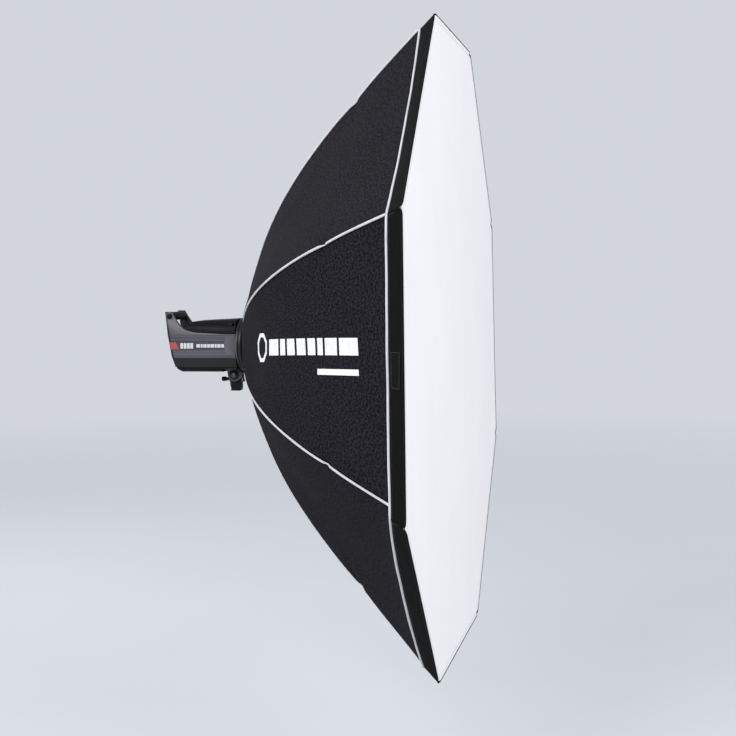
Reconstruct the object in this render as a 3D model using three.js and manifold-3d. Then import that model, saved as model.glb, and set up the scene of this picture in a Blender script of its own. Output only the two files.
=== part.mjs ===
// A large eight-sided studio softbox on its flash head, with the head's stand bracket.
//
// Millimetres. +X is the way the light leaves, +Z is up, and the origin is the centre of the stand
// socket's mouth, where the 16 mm spigot of a light stand goes in. Left is +Y and right is -Y, as
// seen by a person who stands behind the head and looks along +X.

import * as THREE from 'three';
import { mergeVertices } from 'three/addons/utils/BufferGeometryUtils.js';
import Module from 'manifold-3d';

const wasm = await Module();
wasm.setup();

// ---- Driving dimensions ----

const GAP = 0.3; // clearance between neighbouring pieces

// Stand bracket
const PIVOT_HEIGHT = 44.5; // tilt pivot above the socket's mouth
const SPIGOT_BORE_RADIUS = 8.2;
const SPIGOT_BORE_DEPTH = 38;
const TONGUE_HALF_WIDTH = 12;
const TONGUE_RADIUS = 13;
const CHEEK_THICKNESS = 8;
const CHEEK_RADIUS = 18.5;
const WASHER_RADIUS = 14;
const BOLT_RADIUS = 4;
const BOLT_HOLE_RADIUS = 4.5;
const LOCK_SCREW_HEIGHT = 31.5;
const LEVER_BAR_LENGTH = 54;

// Flash head
const CREASE_Z = -27; // the sides lean in below this
const AXIS_HEIGHT = 126; // optical axis above the socket's mouth
const HEAD_FRONT = 18; // front edge of the casing
const WALL = 2.5;
const REAR_TILT = THREE.MathUtils.degToRad(9.8); // the control panel leans back
const HANDLE_X = -167.5;
const HANDLE_Z = 79;
const HANDLE_RADIUS = 11.5;

// Softbox
const SIDES = 8;
const HALF_SIDE_ANGLE = Math.PI / SIDES;
const CORNER_RADIUS = 875; // optical axis to a front corner
const FRONT_X = 610;
const CLOTH = 2; // thickness that stands for cloth, lining and hem
const SHEET = 1.2; // thickness of the white cloths
const LIP_START = 0.962; // where the front lip begins, as a part of the seam curve
const ROD_RADIUS = 3;
const ROD_STEPS = 16;
const ROD_BORE_RADIUS = 3.7;
const BAFFLE_X = 395;
const BAFFLE_RADIUS = 535;
const STRAP_END_RADIUS = 643;
const STRAP_WIDTH = 20;
const DIFFUSER_X = 604;
const DIFFUSER_RADIUS = 865;

// A seam between two panels, and the rod inside it: x along the optical axis, y its distance from it
const SEAM = new THREE.CubicBezierCurve(
  new THREE.Vector2(46, 82),
  new THREE.Vector2(112, 375),
  new THREE.Vector2(252, 550),
  new THREE.Vector2(FRONT_X, CORNER_RADIUS),
);
const ROD_CURVE = new THREE.CubicBezierCurve(
  new THREE.Vector2(61.5, 68),
  new THREE.Vector2(95, 335),
  new THREE.Vector2(296, 580),
  new THREE.Vector2(598, 850),
);

// ---- Materials ----

const finish = (color, roughness, metalness = 0) =>
  new THREE.MeshStandardMaterial({ color, roughness, metalness });

const MATERIALS = {
  blackCloth: finish(0x1c1c1f, 0.9),
  lipCloth: finish(0x151517, 0.8),
  whiteCloth: finish(0xf4f4f4, 0.85),
  greyPlastic: finish(0x4b4b52, 0.45),
  blackPlastic: finish(0x17171a, 0.5),
  rubber: finish(0x101011, 0.85),
  castMetal: finish(0x2b2b2e, 0.5, 0.6),
  steel: finish(0xb9bbc0, 0.25, 1),
  rod: finish(0x26262a, 0.35),
  glass: finish(0xeef2f4, 0.1),
  board: finish(0x1f5a35, 0.6),
  capacitor: finish(0x24344f, 0.5),
  ceramic: finish(0xe6e2da, 0.6),
};

// ---- Shape helpers ----

const AXES = { X: new THREE.Vector3(1, 0, 0), Y: new THREE.Vector3(0, 1, 0), Z: new THREE.Vector3(0, 0, 1) };

// Turned bodies are made about +Y, and outlines are drawn on XY and pushed along +Z.
const TURNED = {
  X: new THREE.Matrix4().makeBasis(AXES.Z, AXES.X, AXES.Y),
  Y: new THREE.Matrix4(),
  Z: new THREE.Matrix4().makeBasis(AXES.X, AXES.Z, AXES.Y.clone().negate()),
};
const PUSHED = {
  X: new THREE.Matrix4().makeBasis(AXES.Y, AXES.Z, AXES.X),
  Y: new THREE.Matrix4().makeBasis(AXES.X, AXES.Z, AXES.Y.clone().negate()),
  Z: new THREE.Matrix4(),
};

const vectors = (pairs) => pairs.map(([a, b]) => new THREE.Vector2(a, b));

function moved(geometry, x, y, z) {
  return geometry.translate(x, y, z);
}

// A profile of [radius, place along the axis] pairs, turned about the axis
function turned(axis, profile, segments = 32, start = 0) {
  return new THREE.LatheGeometry(vectors(profile), segments, start).applyMatrix4(TURNED[axis]);
}

function disc(axis, radius, from, to, segments = 24, start = 0) {
  return turned(axis, [[0, from], [radius, from], [radius, to], [0, to]], segments, start);
}

function ring(axis, inner, outer, from, to, segments = 32, start = 0) {
  const profile = [[inner, from], [outer, from], [outer, to], [inner, to], [inner, from]];
  return turned(axis, profile, segments, start);
}

// An outline pushed along an axis: (y, z) along X, (x, z) along Y, (x, y) along Z
function pushed(axis, outline, from, to, curveSegments = 5) {
  const shape = outline instanceof THREE.Shape ? outline : new THREE.Shape(outline);
  const options = { depth: to - from, bevelEnabled: false, curveSegments };
  const geometry = new THREE.ExtrudeGeometry(shape, options).applyMatrix4(PUSHED[axis]);
  const start = axis === 'Y' ? to : from;
  return geometry.translate(...AXES[axis].clone().multiplyScalar(start).toArray());
}

function block(x0, x1, y0, y1, z0, z1) {
  const geometry = new THREE.BoxGeometry(x1 - x0, y1 - y0, z1 - z0);
  return moved(geometry, (x0 + x1) / 2, (y0 + y1) / 2, (z0 + z1) / 2);
}

function roundedRectangle(x0, x1, y0, y1, radius) {
  const shape = new THREE.Shape();
  shape.absarc(x1 - radius, y0 + radius, radius, -Math.PI / 2, 0);
  shape.absarc(x1 - radius, y1 - radius, radius, 0, Math.PI / 2);
  shape.absarc(x0 + radius, y1 - radius, radius, Math.PI / 2, Math.PI);
  shape.absarc(x0 + radius, y0 + radius, radius, Math.PI, 1.5 * Math.PI);
  return shape;
}

// The corners of a shape, each one once
function cornersOf(shape, divisions = 5) {
  const points = shape.getPoints(divisions);
  return points.filter((point, i) => point.distanceTo(points.at(i - 1)) > 1e-6);
}

// An outline moved outwards by a distance, or inwards where the distance is negative
function offsetOutline(points, distance) {
  const turn = THREE.ShapeUtils.isClockWise(points) ? -1 : 1;
  const outward = (from, to) => {
    const along = to.clone().sub(from).normalize();
    return new THREE.Vector2(along.y * turn, -along.x * turn);
  };
  return points.map((point, i) => {
    const first = outward(points.at(i - 1), point);
    const second = outward(point, points[(i + 1) % points.length]);
    const reach = distance / (1 + first.dot(second));
    return point.clone().addScaledVector(first.add(second), reach);
  });
}

// ---- Solids ----

const isSolid = (shape) => shape instanceof wasm.Manifold;

function signedVolume(positions, index) {
  const [a, b, c] = [new THREE.Vector3(), new THREE.Vector3(), new THREE.Vector3()];
  let sum = 0;
  for (let i = 0; i < index.length; i += 3) {
    a.fromArray(positions, index[i] * 3);
    b.fromArray(positions, index[i + 1] * 3);
    c.fromArray(positions, index[i + 2] * 3);
    sum += a.dot(b.cross(c)) / 6;
  }
  return sum;
}

function solidOf(shape) {
  if (isSolid(shape)) return shape;
  const bare = new THREE.BufferGeometry();
  bare.setAttribute('position', shape.attributes.position.clone());
  if (shape.index) bare.setIndex(shape.index.clone());
  const merged = mergeVertices(bare, 1e-4);
  const positions = merged.attributes.position.array;
  const index = [];
  for (let i = 0; i < merged.index.count; i += 3) {
    const corners = [0, 1, 2].map((k) => merged.index.getX(i + k));
    if (new Set(corners).size === 3) index.push(...corners);
  }
  if (signedVolume(positions, index) < 0) index.reverse();
  const vertProperties = Float32Array.from(positions);
  const triVerts = Uint32Array.from(index);
  return new wasm.Manifold(new wasm.Mesh({ numProp: 3, vertProperties, triVerts }));
}

const join = (first, ...others) =>
  others.reduce((all, other) => all.add(solidOf(other)), solidOf(first));
const cut = (first, ...tools) =>
  tools.reduce((rest, tool) => rest.subtract(solidOf(tool)), solidOf(first));
const common = (first, other) => solidOf(first).intersect(solidOf(other));

function geometryOf(shape) {
  const { vertProperties, triVerts } = solidOf(shape).getMesh();
  const geometry = new THREE.BufferGeometry();
  geometry.setAttribute('position', new THREE.BufferAttribute(Float32Array.from(vertProperties), 3));
  geometry.setIndex(new THREE.BufferAttribute(Uint32Array.from(triVerts), 1));
  const faceted = geometry.toNonIndexed();
  faceted.computeVertexNormals();
  return faceted;
}

function piece(group, name, shape, material) {
  const mesh = new THREE.Mesh(geometryOf(shape), material);
  mesh.name = name;
  group.add(mesh);
  return mesh;
}

const softboxSet = new THREE.Group();

// ---- Stand bracket: the part that stays on the light stand ----

const stand = new THREE.Group();
softboxSet.add(stand);

function standSocket() {
  const lower = [[-12.5, 0], [12.5, 0], [15, 7], [15, 26], [-15, 26], [-15, 18], [-12.5, 9]];
  const body = pushed('Y', vectors(lower), -TONGUE_HALF_WIDTH, TONGUE_HALF_WIDTH);
  const tongue = new THREE.Shape();
  tongue.moveTo(-TONGUE_RADIUS, 22);
  tongue.lineTo(TONGUE_RADIUS, 22);
  tongue.absarc(0, PIVOT_HEIGHT, TONGUE_RADIUS, 0, Math.PI);
  const spigotBore = disc('Z', SPIGOT_BORE_RADIUS, -1, SPIGOT_BORE_DEPTH, 24);
  const pivotHole = moved(disc('Y', BOLT_HOLE_RADIUS, -20, 20, 16), 0, 0, PIVOT_HEIGHT);
  const screwBoss = moved(disc('X', 7, -19, -10, 16), 0, 0, LOCK_SCREW_HEIGHT);
  const screwHole = moved(disc('X', 3.9, -30, 0, 12), 0, 0, LOCK_SCREW_HEIGHT);
  const whole = join(body, pushed('Y', tongue, -TONGUE_HALF_WIDTH, TONGUE_HALF_WIDTH, 12), screwBoss);
  return cut(whole, spigotBore, pivotHole, screwHole);
}
piece(stand, 'stand_socket', standSocket(), MATERIALS.castMetal);

// The lock screw: a shaft whose tip ends at the bore's wall, and a fluted head
function standLockScrew() {
  const shaft = disc('X', 3.5, -24, -8.6, 12);
  const flutes = Array.from({ length: 6 }, (_, i) => {
    const angle = (i / 6) * 2 * Math.PI;
    return moved(disc('X', 1.2, -43, -30.5, 8), 0, 6.6 * Math.cos(angle), 6.6 * Math.sin(angle));
  });
  const profile = [[0, -41], [5, -41], [6.3, -39.5], [6.3, -31], [4.6, -28], [4.6, -23], [0, -23]];
  const head = cut(turned('X', profile, 24), ...flutes);
  return join(shaft, head).translate(0, 0, LOCK_SCREW_HEIGHT);
}
piece(stand, 'stand_lock_screw', standLockScrew(), MATERIALS.blackPlastic);

// ---- Flash head: z is measured from the optical axis in here ----

const head = new THREE.Group();
head.position.z = AXIS_HEIGHT;
softboxSet.add(head);

const PIVOT_Z = PIVOT_HEIGHT - AXIS_HEIGHT;

// Cross-section of the casing: flat below, straight creased sides, rounded shoulders
function casingSection() {
  const shape = new THREE.Shape();
  shape.moveTo(-38, -72);
  shape.lineTo(38, -72);
  shape.quadraticCurveTo(52, -72, 55, -60);
  shape.lineTo(66, CREASE_Z);
  shape.lineTo(66, 30);
  shape.quadraticCurveTo(64, 72, 20, 72);
  shape.lineTo(-20, 72);
  shape.quadraticCurveTo(-64, 72, -66, 30);
  shape.lineTo(-66, CREASE_Z);
  shape.lineTo(-55, -60);
  shape.quadraticCurveTo(-52, -72, -38, -72);
  return cornersOf(shape, 5);
}
const SECTION = casingSection();
const INNER_SECTION = offsetOutline(SECTION, -WALL);

// Side view of a side panel, with the horn that holds the handle
function sidePanelOutline() {
  const shape = new THREE.Shape();
  shape.moveTo(HEAD_FRONT, -58);
  shape.lineTo(HEAD_FRONT, 31);
  shape.lineTo(-10, 31);
  shape.lineTo(-75, 34.5);
  shape.quadraticCurveTo(-120, 36, -138, 54);
  shape.quadraticCurveTo(-152, 70, -162, 92);
  shape.lineTo(-181, 92);
  shape.lineTo(-171.5, 29);
  shape.lineTo(-161, -32);
  shape.lineTo(-155, -58);
  return cornersOf(shape, 5);
}
const PANEL_WALL = vectors([
  [55, -60], [66, CREASE_Z], [66, 30], [56, 95], // outside
  [50.5, 95], [50.5, 46], [61, 46], [63.5, 30], [63.5, CREASE_Z], [52.4, -60], // inside, thicker at the horn
]);

// side is 1 for the left panel and -1 for the right one
function sidePanelBlank(side, grow = 0) {
  const wall = offsetOutline(PANEL_WALL, grow).map((p) => new THREE.Vector2(p.x * side, p.y));
  const outline = offsetOutline(sidePanelOutline(), grow);
  return common(pushed('X', wall, -190, 30), pushed('Y', outline, -70, 70));
}

function sidePanel(side) {
  const handleHole = moved(disc('Y', 7.7, -80, 80, 20), HANDLE_X, 0, HANDLE_Z);
  const recess = moved(block(-169, -12, -0.5, 0.5, -11, 11), 0, side * 66.1, 0);
  return cut(sidePanelBlank(side), handleHole, recess);
}

// Side view of the top cover: level over the lamp, then down to the saddle under the handle
const SADDLE_FRONT = -104;
const topAt = (x) => 65 + (x - SADDLE_FRONT) * 0.05;
const topOutline = (drop, front, rear, floor) =>
  vectors([
    [front, topAt(front) - drop], [SADDLE_FRONT, topAt(SADDLE_FRONT) - drop],
    [-135, 43 - drop], [rear, 43 - drop], [rear, floor], [front, floor],
  ]);

const LATCH = { x: 2, y: -57, z: 56, lean: THREE.MathUtils.degToRad(51), travel: 4 };
const latchFrame = new THREE.Matrix4()
  .makeRotationX(LATCH.lean)
  .setPosition(LATCH.x, LATCH.y, LATCH.z);

function topCover() {
  const outer = common(
    pushed('X', SECTION, -171.5, HEAD_FRONT),
    pushed('Y', topOutline(0, 20, -190, 31), -70, 70),
  );
  const inner = common(
    pushed('X', INNER_SECTION, -200, 30),
    pushed('Y', topOutline(WALL, 40, -210, 0), -69, 69),
  );
  const latchSlot = block(-8, 12, -4.2, 4.2, -8, 8).applyMatrix4(latchFrame);
  const vents = [-80, -68, -56, -44].map((x) => block(x, x + 5, -26, 26, 50, 80));
  return cut(outer, inner, sidePanelBlank(1, GAP), sidePanelBlank(-1, GAP), latchSlot, ...vents);
}

const bottomOutline = (lift, front, rearTop) =>
  vectors([
    [front, -57 + lift * 20], [front, -72 + lift], [-138 + lift, -72 + lift],
    [-150.5 + lift, -62.5 + lift / 2], [-157 + lift, rearTop], [-140, rearTop],
  ]);

function bottomCover() {
  const outer = common(
    pushed('X', SECTION, -170, HEAD_FRONT),
    pushed('Y', bottomOutline(0, 20, -45), -70, 70),
  );
  const inner = common(
    pushed('X', INNER_SECTION, -200, 30),
    pushed('Y', bottomOutline(WALL, 40, -40), -69, 69),
  );
  const footOpening = block(-24.3, 30, -70, 70, -80, -62);
  const vents = [-110, -98, -86, -74, -62, -50].map((x) => block(x, x + 6, -24, 24, -80, -65));
  return cut(outer, inner, sidePanelBlank(1, GAP), sidePanelBlank(-1, GAP), footOpening, ...vents);
}

piece(head, 'side_panel_left', sidePanel(1), MATERIALS.greyPlastic);
piece(head, 'side_panel_right', sidePanel(-1), MATERIALS.greyPlastic);
piece(head, 'top_cover', topCover(), MATERIALS.blackPlastic);
piece(head, 'bottom_cover', bottomCover(), MATERIALS.blackPlastic);

// Front: a bulkhead inside the casing, and the ring that takes the bayonet
const LAMP_BASE_RADIUS = 22;
function frontPlate() {
  const blank = pushed('X', offsetOutline(SECTION, -WALL - 1.5), HEAD_FRONT - 4, HEAD_FRONT - GAP);
  return cut(blank, disc('X', LAMP_BASE_RADIUS + 0.5, 0, 30, 24));
}
piece(head, 'front_plate', frontPlate(), MATERIALS.blackPlastic);

const RING_PROFILE = [
  [52, 18.3], [69, 18.3], [72, 21.5], [72, 25], [70.5, 26], // chamfer, then a groove
  [70.5, 28], [72, 29], [72, 33], [71, 34], [52, 34], [52, 18.3],
];
piece(head, 'front_ring', turned('X', RING_PROFILE, 32), MATERIALS.blackPlastic);

// Handle bar between the horns, on two caps
function handleBar() {
  const length = 50.2;
  const profile = [
    [0, -length], [10, -length], [HANDLE_RADIUS, -length + 4],
    [HANDLE_RADIUS, length - 4], [10, length], [0, length],
  ];
  return moved(turned('Y', profile, 24), HANDLE_X, 0, HANDLE_Z);
}
piece(head, 'handle_bar', handleBar(), MATERIALS.rubber);
for (const [name, side] of [['handle_cap_left', 1], ['handle_cap_right', -1]]) {
  const [from, to] = [50.5 * side, 60 * side].sort((a, b) => a - b);
  piece(head, name, moved(disc('Y', 7.2, from, to, 20), HANDLE_X, 0, HANDLE_Z), MATERIALS.blackPlastic);
}

// Latch that keeps the bayonet from turning, on the right shoulder
function bayonetLatch() {
  const thumb = block(-6, 6, -3.8, 3.8, -4, 3);
  const grooves = [-3, 0, 3].map((x) => block(x - 0.5, x + 0.5, -5, 5, 2.2, 4));
  return solidOf(cut(thumb, ...grooves)).transform(latchFrame.toArray());
}
piece(head, 'bayonet_latch', bayonetLatch(), MATERIALS.rubber);

// Mount foot: a base plate that closes the bottom cover's opening, three pillars behind it, and two
// cheeks that take the stand socket's tongue between them
const CHEEK_INNER = TONGUE_HALF_WIDTH + GAP;
const CHEEK_OUTER = CHEEK_INNER + CHEEK_THICKNESS;
function mountFoot() {
  const shield = new THREE.Shape();
  shield.moveTo(-20, -62.3);
  shield.lineTo(-20, -72);
  shield.absarc(0, PIVOT_Z, CHEEK_RADIUS, 1.06 * Math.PI, 1.8 * Math.PI);
  shield.lineTo(20.5, -86);
  shield.lineTo(20.5, -72.6);
  shield.lineTo(12, -72.6);
  shield.lineTo(12, -62.3);
  const cheeks = [[-CHEEK_OUTER, -CHEEK_INNER], [CHEEK_INNER, CHEEK_OUTER]];
  const plate = join(block(-38, -20, -36.5, 36.5, -64.3, -62.3), block(-24, 13.7, -50, 50, -64.3, -62.3));
  const pillars = [-24, 0, 24].map((y) => moved(disc('Z', 3, -69.2, -63, 12), -33, y, 0));
  const pivotHole = moved(disc('Y', BOLT_HOLE_RADIUS, -60, 60, 16), 0, 0, PIVOT_Z);
  const whole = join(plate, ...pillars, ...cheeks.map(([from, to]) => pushed('Y', shield, from, to, 10)));
  return cut(whole, pivotHole);
}
piece(head, 'mount_foot', mountFoot(), MATERIALS.greyPlastic);

// Pivot bolt with a domed head on the right, over a washer
const WASHER_FACE = -CHEEK_OUTER - GAP;
const BOLT_SEAT = WASHER_FACE - 2.2 - GAP;
function pivotBolt() {
  const dome = new THREE.EllipseCurve(BOLT_SEAT, 0, 5, 8.6, Math.PI, Math.PI / 2, true).getPoints(5);
  const profile = [
    ...dome.map((p) => [Math.max(p.y, 0), p.x]),
    [BOLT_RADIUS, BOLT_SEAT], [BOLT_RADIUS, CHEEK_OUTER - 0.5], [0, CHEEK_OUTER - 0.5],
  ];
  return moved(turned('Y', profile, 20), 0, 0, PIVOT_Z);
}
piece(head, 'pivot_bolt', pivotBolt(), MATERIALS.steel);
const washer = ring('Y', BOLT_HOLE_RADIUS, WASHER_RADIUS, WASHER_FACE - 2.2, WASHER_FACE, 28);
piece(head, 'bolt_washer', moved(washer, 0, 0, PIVOT_Z), MATERIALS.rubber);

// Tilt lever: a hub and stem on the pivot's left side, with a cross-bar that a hand turns
function tiltLever() {
  const start = CHEEK_OUTER + GAP;
  const stem = turned('Y', [[0, start], [10, start], [10, 26], [5.4, 30.3], [5.4, 72], [0, 72]], 20);
  const half = LEVER_BAR_LENGTH / 2;
  const bar = pushed('Y', roundedRectangle(-3.5, 3.5, -half, half, 3.4), 70, 78.5, 5);
  return join(stem, bar).translate(0, 0, PIVOT_Z);
}
piece(head, 'tilt_lever', tiltLever(), MATERIALS.blackPlastic);

// ---- Control panel: leans back, x is measured inwards from its outer face ----

const controls = new THREE.Group();
controls.position.set(-164.5, 0, -1);
controls.rotation.y = -REAR_TILT;
head.add(controls);

const PANEL_DEPTH = 3;
const BUTTON = { width: 10, height: 7, z: 2, left: 47, pitch: 14, count: 4 };
const KNOB = { y: -34, z: 14, radius: 12 };
const SWITCH = { y: 34, z: -26, halfWidth: 10, radius: 9, axisX: 5, rock: THREE.MathUtils.degToRad(12) };
const INLET = { y: -20, z: -27, halfWidth: 15, halfHeight: 11 };
const SYNC = { y: -48, z: -22, radius: 5 };
const buttonY = (i) => BUTTON.left - i * BUTTON.pitch;

function rearPanel() {
  const outline = vectors([
    [-54.5, -43], [54.5, -43], [61.5, -20], [61.5, 30], [56, 41], [-56, 41], [-61.5, 30], [-61.5, -20],
  ]);
  const holes = [
    moved(disc('X', 3.4, -5, 10, 12), 0, KNOB.y, KNOB.z),
    block(-5, 10, SWITCH.y - 10.4, SWITCH.y + 10.4, SWITCH.z - 9.6, SWITCH.z + 9.6),
    block(-5, 10, INLET.y - 14.3, INLET.y + 14.3, INLET.z - 10.3, INLET.z + 10.3),
    moved(disc('X', SYNC.radius + GAP, -5, 10, 16), 0, SYNC.y, SYNC.z),
    block(-5, 1.6, -12.3, 52.3, 13.7, 36.3), // display recess
  ];
  for (let i = 0; i < BUTTON.count; i++) {
    holes.push(block(-5, 10, buttonY(i) - 5.4, buttonY(i) + 5.4, BUTTON.z - 3.9, BUTTON.z + 3.9));
  }
  return cut(pushed('X', outline, 0, PANEL_DEPTH), ...holes);
}
piece(controls, 'rear_panel', rearPanel(), MATERIALS.blackPlastic);
piece(controls, 'display_window', block(0.3, 1.3, -12, 52, 14, 36), MATERIALS.glass);

function controlKnob() {
  const { radius } = KNOB;
  const body = turned('X', [[0, -8], [radius - 1.5, -8], [radius, -6.8], [radius, -0.6], [0, -0.6]], 24);
  const shaft = disc('X', 3, -1, 5.5, 12);
  const flutes = Array.from({ length: 12 }, (_, i) => {
    const angle = ((i + 0.5) / 12) * 2 * Math.PI;
    return moved(disc('X', 1.2, -20, -2.5, 6), 0, radius * Math.cos(angle), radius * Math.sin(angle));
  });
  return cut(join(body, shaft), ...flutes).translate(0, KNOB.y, KNOB.z);
}
piece(controls, 'control_knob', controlKnob(), MATERIALS.greyPlastic);

for (let i = 0; i < BUTTON.count; i++) {
  const [y, z] = [buttonY(i), BUTTON.z];
  const face = roundedRectangle(y - BUTTON.width / 2, y + BUTTON.width / 2, z - 3.5, z + 3.5, 1.5);
  piece(controls, `button_${i + 1}`, pushed('X', face, -2.6, 2.6, 2), MATERIALS.rubber);
}

// Rocker: round about its axle, with two front facets, resting on its lower end
function powerSwitch() {
  const { halfWidth, radius, axisX, rock } = SWITCH;
  const drum = disc('Y', radius, -halfWidth, halfWidth, 20);
  const facets = [-1, 1].map((end) => {
    const slab = block(-20, 0, -20, 20, -20, 20).rotateY(end * rock);
    return slab.translate(-radius * 0.72, 0, 0);
  });
  const cutter = common(...facets);
  const back = block(radius * 0.3, 20, -20, 20, -20, 20);
  const rocker = geometryOf(cut(drum, cutter, back)).rotateY(rock);
  return moved(rocker, axisX, SWITCH.y, SWITCH.z);
}
piece(controls, 'power_switch', powerSwitch(), MATERIALS.blackPlastic);

function mainsInlet() {
  const { y, z } = INLET;
  const flange = pushed('X', roundedRectangle(y - 16.5, y + 16.5, z - 12.5, z + 12.5, 3), -1.8, -GAP, 3);
  const body = block(-1, 19, y - 14, y + 14, z - 10, z + 10);
  const mouth = pushed('X', roundedRectangle(y - 12, y + 12, z - 8, z + 8, 3), -5, 16, 3);
  const pins = [-7, 0, 7].map((dy) => block(2, 17, y + dy - 1, y + dy + 1, z - 2.5, z + 2.5));
  return join(cut(join(flange, body), mouth), ...pins);
}
piece(controls, 'mains_inlet', mainsInlet(), MATERIALS.blackPlastic);

function syncSocket() {
  const sleeve = ring('X', 1.75, SYNC.radius, -1, 12, 16);
  const back = disc('X', SYNC.radius, 11, 14, 16);
  return join(sleeve, back).translate(0, SYNC.y, SYNC.z);
}
piece(controls, 'sync_socket', syncSocket(), MATERIALS.steel);
piece(controls, 'control_board', block(8, 9.6, -50, 50, -6, 38), MATERIALS.board);

// ---- Inside the head ----

const FAN = { front: -122, rear: -138, half: 31, bore: 28.5 };
function fanFrame() {
  const blank = block(FAN.rear, FAN.front, -FAN.half, FAN.half, -FAN.half, FAN.half);
  const opened = cut(blank, disc('X', FAN.bore, FAN.rear - 2, FAN.front + 2, 28));
  const strut = block(FAN.rear, FAN.rear + 2.5, -2.5, 2.5, -FAN.bore - 0.5, FAN.bore + 0.5);
  return join(opened, strut, disc('X', 10, FAN.rear, FAN.rear + 2.5, 20));
}
piece(head, 'fan_frame', fanFrame(), MATERIALS.blackPlastic);

function fanRotor() {
  const [from, to] = [FAN.rear + 3, FAN.front - 1];
  const hub = disc('X', 11, from, to, 20);
  const middle = (from + to) / 2;
  const blades = Array.from({ length: 7 }, (_, i) => {
    const blade = block(-5.5, 5.5, -0.7, 0.7, 9, 27).rotateZ(0.7);
    return moved(blade.rotateX((i / 7) * 2 * Math.PI), middle, 0, 0);
  });
  return join(hub, ...blades);
}
piece(head, 'fan_rotor', fanRotor(), MATERIALS.blackPlastic);

for (const [name, y] of [['capacitor_1', 24], ['capacitor_2', -24]]) {
  const can = turned('X', [[0, -112], [19, -112], [20, -110], [20, -38], [0, -38]], 24);
  piece(head, name, moved(can, 0, y, -43), MATERIALS.capacitor);
}

// Lamp base through the bulkhead, modelling lamp on the axis, ring-shaped flash tube, glass dome
const LAMP_BASE_PROFILE = [
  [0, 6], [LAMP_BASE_RADIUS, 6], [LAMP_BASE_RADIUS, 28], [14, 30], [10.5, 30], [10.5, 20], [0, 20],
];
piece(head, 'lamp_base', turned('X', LAMP_BASE_PROFILE, 24), MATERIALS.ceramic);

function modellingLamp() {
  const bulb = new THREE.EllipseCurve(54, 0, 15, 12, Math.PI * 0.8, 0, true).getPoints(8);
  const profile = [[0, 20.4], [9.5, 20.4], [9.5, 38], ...bulb.map((p) => [Math.max(p.y, 0), p.x])];
  return turned('X', profile, 16);
}
piece(head, 'modelling_lamp', modellingLamp(), MATERIALS.glass);

function flashTube() {
  const loop = new THREE.TorusGeometry(33, 4, 6, 20).rotateY(Math.PI / 2);
  const legs = [-7, 7].map((y) => moved(disc('X', 3, HEAD_FRONT + GAP, 44, 10), 0, y, -32));
  return join(moved(loop, 44, 0, 0), ...legs);
}
piece(head, 'flash_tube', flashTube(), MATERIALS.glass);

function glassDome() {
  const arc = (radius, length, from, to) => {
    const curve = new THREE.EllipseCurve(56, 0, length, radius, from, to, from > to);
    return curve.getPoints(5).map((p) => [Math.max(p.y, 0), p.x]);
  };
  const outside = arc(45.8, 36, Math.PI / 2, 0);
  const inside = arc(43.8, 34, 0, Math.PI / 2);
  const foot = HEAD_FRONT + GAP;
  return turned('X', [...inside, [43.8, foot], [45.8, foot], ...outside], 20);
}
piece(head, 'glass_dome', glassDome(), MATERIALS.glass);

// ---- Ring adapter: bayonet ring and retainer stay on the head, the rotating ring turns between ----

function bayonetRing() {
  const plate = [[50, 34.3], [68, 34.3], [68, 46], [55, 46], [55, 70], [50, 70], [50, 34.3]];
  const sector = pushed('X', vectors([[0, 0], [80, -22], [80, 22]]), 20, 40);
  const claw = common(ring('X', 47, 51.4, 25, 36, 48), sector);
  const claws = [0, 1, 2].map((i) => claw.rotate([i * 120, 0, 0]));
  return join(turned('X', plate, 36), ...claws);
}
piece(head, 'bayonet_ring', bayonetRing(), MATERIALS.castMetal);

function lockRing() {
  const grips = Array.from({ length: 12 }, (_, i) => {
    const angle = (i / 12) * 2 * Math.PI;
    return moved(disc('X', 2.2, 30, 50, 6), 0, 76.8 * Math.cos(angle), 76.8 * Math.sin(angle));
  });
  return cut(ring('X', 68.5, 76, 35, 44, 36), ...grips);
}
piece(head, 'lock_ring', lockRing(), MATERIALS.castMetal);
piece(head, 'ring_retainer', ring('X', 55.3, 61.5, 66.4, 70, 32), MATERIALS.castMetal);

// ---- Softbox: turns about the optical axis ----

const softbox = new THREE.Group();
softbox.position.z = AXIS_HEIGHT;
softboxSet.add(softbox);

// Corner k of the octagon: corners are half a side away from the four level and upright directions
const cornerAngle = (k) => (k + 0.5) * 2 * HALF_SIDE_ANGLE;
const onAxisPlane = (angle, x, radius) =>
  new THREE.Vector3(x, -radius * Math.cos(angle), radius * Math.sin(angle));

// Turns what was made above the axis round to an angle
const turnTo = (angle, geometry) => geometry.rotateX(Math.PI / 2 - angle);

// A tube along the first stretch of a rod, from its end outwards
const rodStart = ROD_CURVE.getPoint(0);
const rodSlope = ROD_CURVE.getPointAt(1 / ROD_STEPS).sub(rodStart);
function rodSocket(angle, radius, from, to, segments) {
  const lean = Math.atan2(rodSlope.x, rodSlope.y);
  const tube = disc('Z', radius, from, to, segments).rotateY(lean);
  return turnTo(angle, tube.translate(rodStart.x, 0, rodStart.y));
}

function rotatingRing() {
  const profile = [[56, 46.6], [72, 46.6], [72, 50], [77, 52], [77, 58], [73, 66], [56, 66], [56, 46.6]];
  const blank = turned('X', profile, 32);
  const angles = Array.from({ length: SIDES }, (_, k) => cornerAngle(k));
  const sockets = angles.map((angle) => rodSocket(angle, 7, -3, 26, 10));
  const bores = angles.map((angle) => rodSocket(angle, ROD_BORE_RADIUS, -0.5, 40, 8));
  return cut(join(blank, ...sockets), ...bores);
}
piece(softbox, 'rotating_ring', rotatingRing(), MATERIALS.castMetal);

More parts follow.
